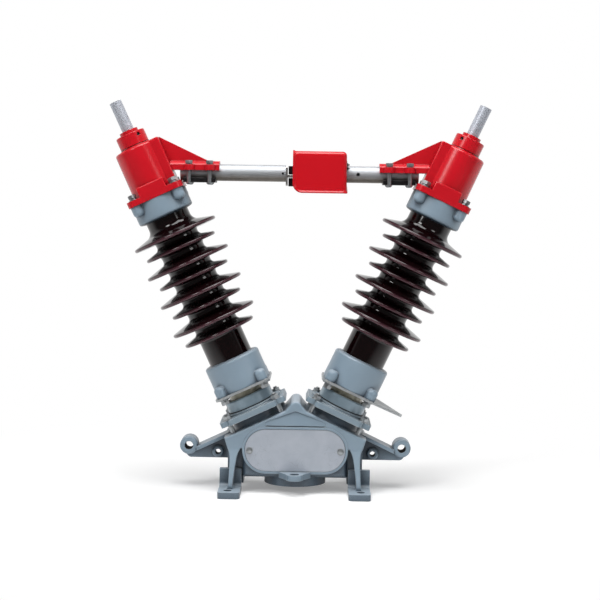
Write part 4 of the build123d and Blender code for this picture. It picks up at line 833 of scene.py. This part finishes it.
def studio_white(owner, direction):
    """White, but in reflections dark towards the front, as an unlit room behind the camera is.

    All of the white is left where the direction's Y is above 0.1, and a tenth of it where Y is below -0.4.
    """
    side = add_node(owner, "SeparateXYZ", {"Vector": direction})
    open_side = add_node(owner, "MapRange", {"Value": side.outputs["Y"], "From Min": 0.1, "From Max": -0.4,
                                             "To Min": 1.0, "To Max": 0.1}, interpolation_type="SMOOTHSTEP")
    gloss = add_node(owner, "LightPath").outputs["Is Glossy Ray"]
    return add_node(owner, "MixRGB", {"Fac": gloss, "Color1": (1.0, 1.0, 1.0, 1.0), "Color2": open_side})


paper, place = new_material("white_paper_floor")
seen = seen_directly(paper)
# The paper's own shading, with the object's shadow, fades to plain white away from it
reach = add_node(paper, "VectorMath", {0: place}, operation="LENGTH")
fade = add_node(paper, "MapRange", {"Value": reach.outputs["Value"], "From Min": 0.35, "From Max": 1.1},
                interpolation_type="SMOOTHSTEP")
white = add_node(paper, "Math", {0: seen, 1: fade}, operation="MULTIPLY")
lift = add_node(paper, "Math", {0: seen, 1: 0.25}, operation="MULTIPLY")
shader = add_node(paper, "BsdfPrincipled", {
    "Base Color": linear("EEEEEE"), "Roughness": 0.9, "Specular IOR Level": 0.0,
    "Emission Color": linear("FFFFFF"), "Emission Strength": lift,
})
# Which side of the studio a spot belongs to goes by its direction from the object's middle
OBJECT_MIDDLE = (0.0, 0.0, 0.45)
aside = add_node(paper, "VectorMath", {0: place, 1: OBJECT_MIDDLE}, operation="SUBTRACT")
aside = add_node(paper, "VectorMath", {0: aside}, operation="NORMALIZE")
plain = add_node(paper, "Emission", {"Color": studio_white(paper, aside), "Strength": 1.0})
mixed = add_node(paper, "MixShader", {0: white, 1: shader, 2: plain})
add_node(paper, "OutputMaterial", {"Surface": mixed})
floor_mesh.materials.append(paper)

world = bpy.data.worlds.new("studio")
bpy.context.scene.world = world
world.use_nodes = True
world.node_tree.nodes.clear()
heading = add_node(world, "TexCoord").outputs["Generated"]
# White walls under a darker ceiling
parts = add_node(world, "SeparateXYZ", {"Vector": heading})
walls = add_node(world, "MapRange", {"Value": parts.outputs["Z"], "From Min": 0.25, "From Max": 0.6,
                                     "To Min": 1.0, "To Max": 0.35})
walls = add_node(world, "MixRGB", {"Fac": 1.0, "Color1": walls, "Color2": studio_white(world, heading)},
                 blend_type="MULTIPLY")
level = add_node(world, "MixRGB", {"Fac": seen_directly(world), "Color1": (0.22, 0.22, 0.22, 1.0),
                                   "Color2": walls})
sky = add_node(world, "Background", {"Color": level, "Strength": 1.0})
add_node(world, "OutputWorld", {"Surface": sky})

LAMP_AIM = Vector((0, 0, 0.5))
for name, stand, size, power in (
    ("key_left", (-2.0, -2.6, 2.8), 1.1, 41.0),
    ("fill_right", (2.6, -2.4, 1.8), 1.0, 13.0),
    ("top", (0.0, -0.7, 3.2), 2.2, 96.0),
):
    lamp = bpy.data.lights.new(name, "AREA")
    lamp.shape = "RECTANGLE"
    lamp.size = size
    lamp.size_y = size
    lamp.energy = power
    holder = bpy.data.objects.new(name, lamp)
    bpy.context.scene.collection.objects.link(holder)
    holder.location = stand
    holder.rotation_mode = "QUATERNION"
    holder.rotation_quaternion = (LAMP_AIM - Vector(stand)).to_track_quat("-Z", "Y")

camera_data = bpy.data.cameras.new("camera")
camera = bpy.data.objects.new("camera", camera_data)
bpy.context.scene.collection.objects.link(camera)
bpy.context.scene.camera = camera
camera_data.sensor_width = 36.0
camera_data.lens = 88.45
camera_data.clip_end = 100.0
turn_left, look_down, roll = (math.radians(a) for a in (0.4146, 3.8976, 0.8836))
camera.matrix_world = (
    Matrix.Translation((0.03018, -3.4, 0.670))
    @ Matrix.Rotation(turn_left, 4, "Z")
    @ Matrix.Rotation(math.pi / 2 - look_down, 4, "X")
    @ Matrix.Rotation(roll, 4, "Z")
)
bpy.context.scene.view_settings.view_transform = "Standard"

bpy.context.view_layer.update()
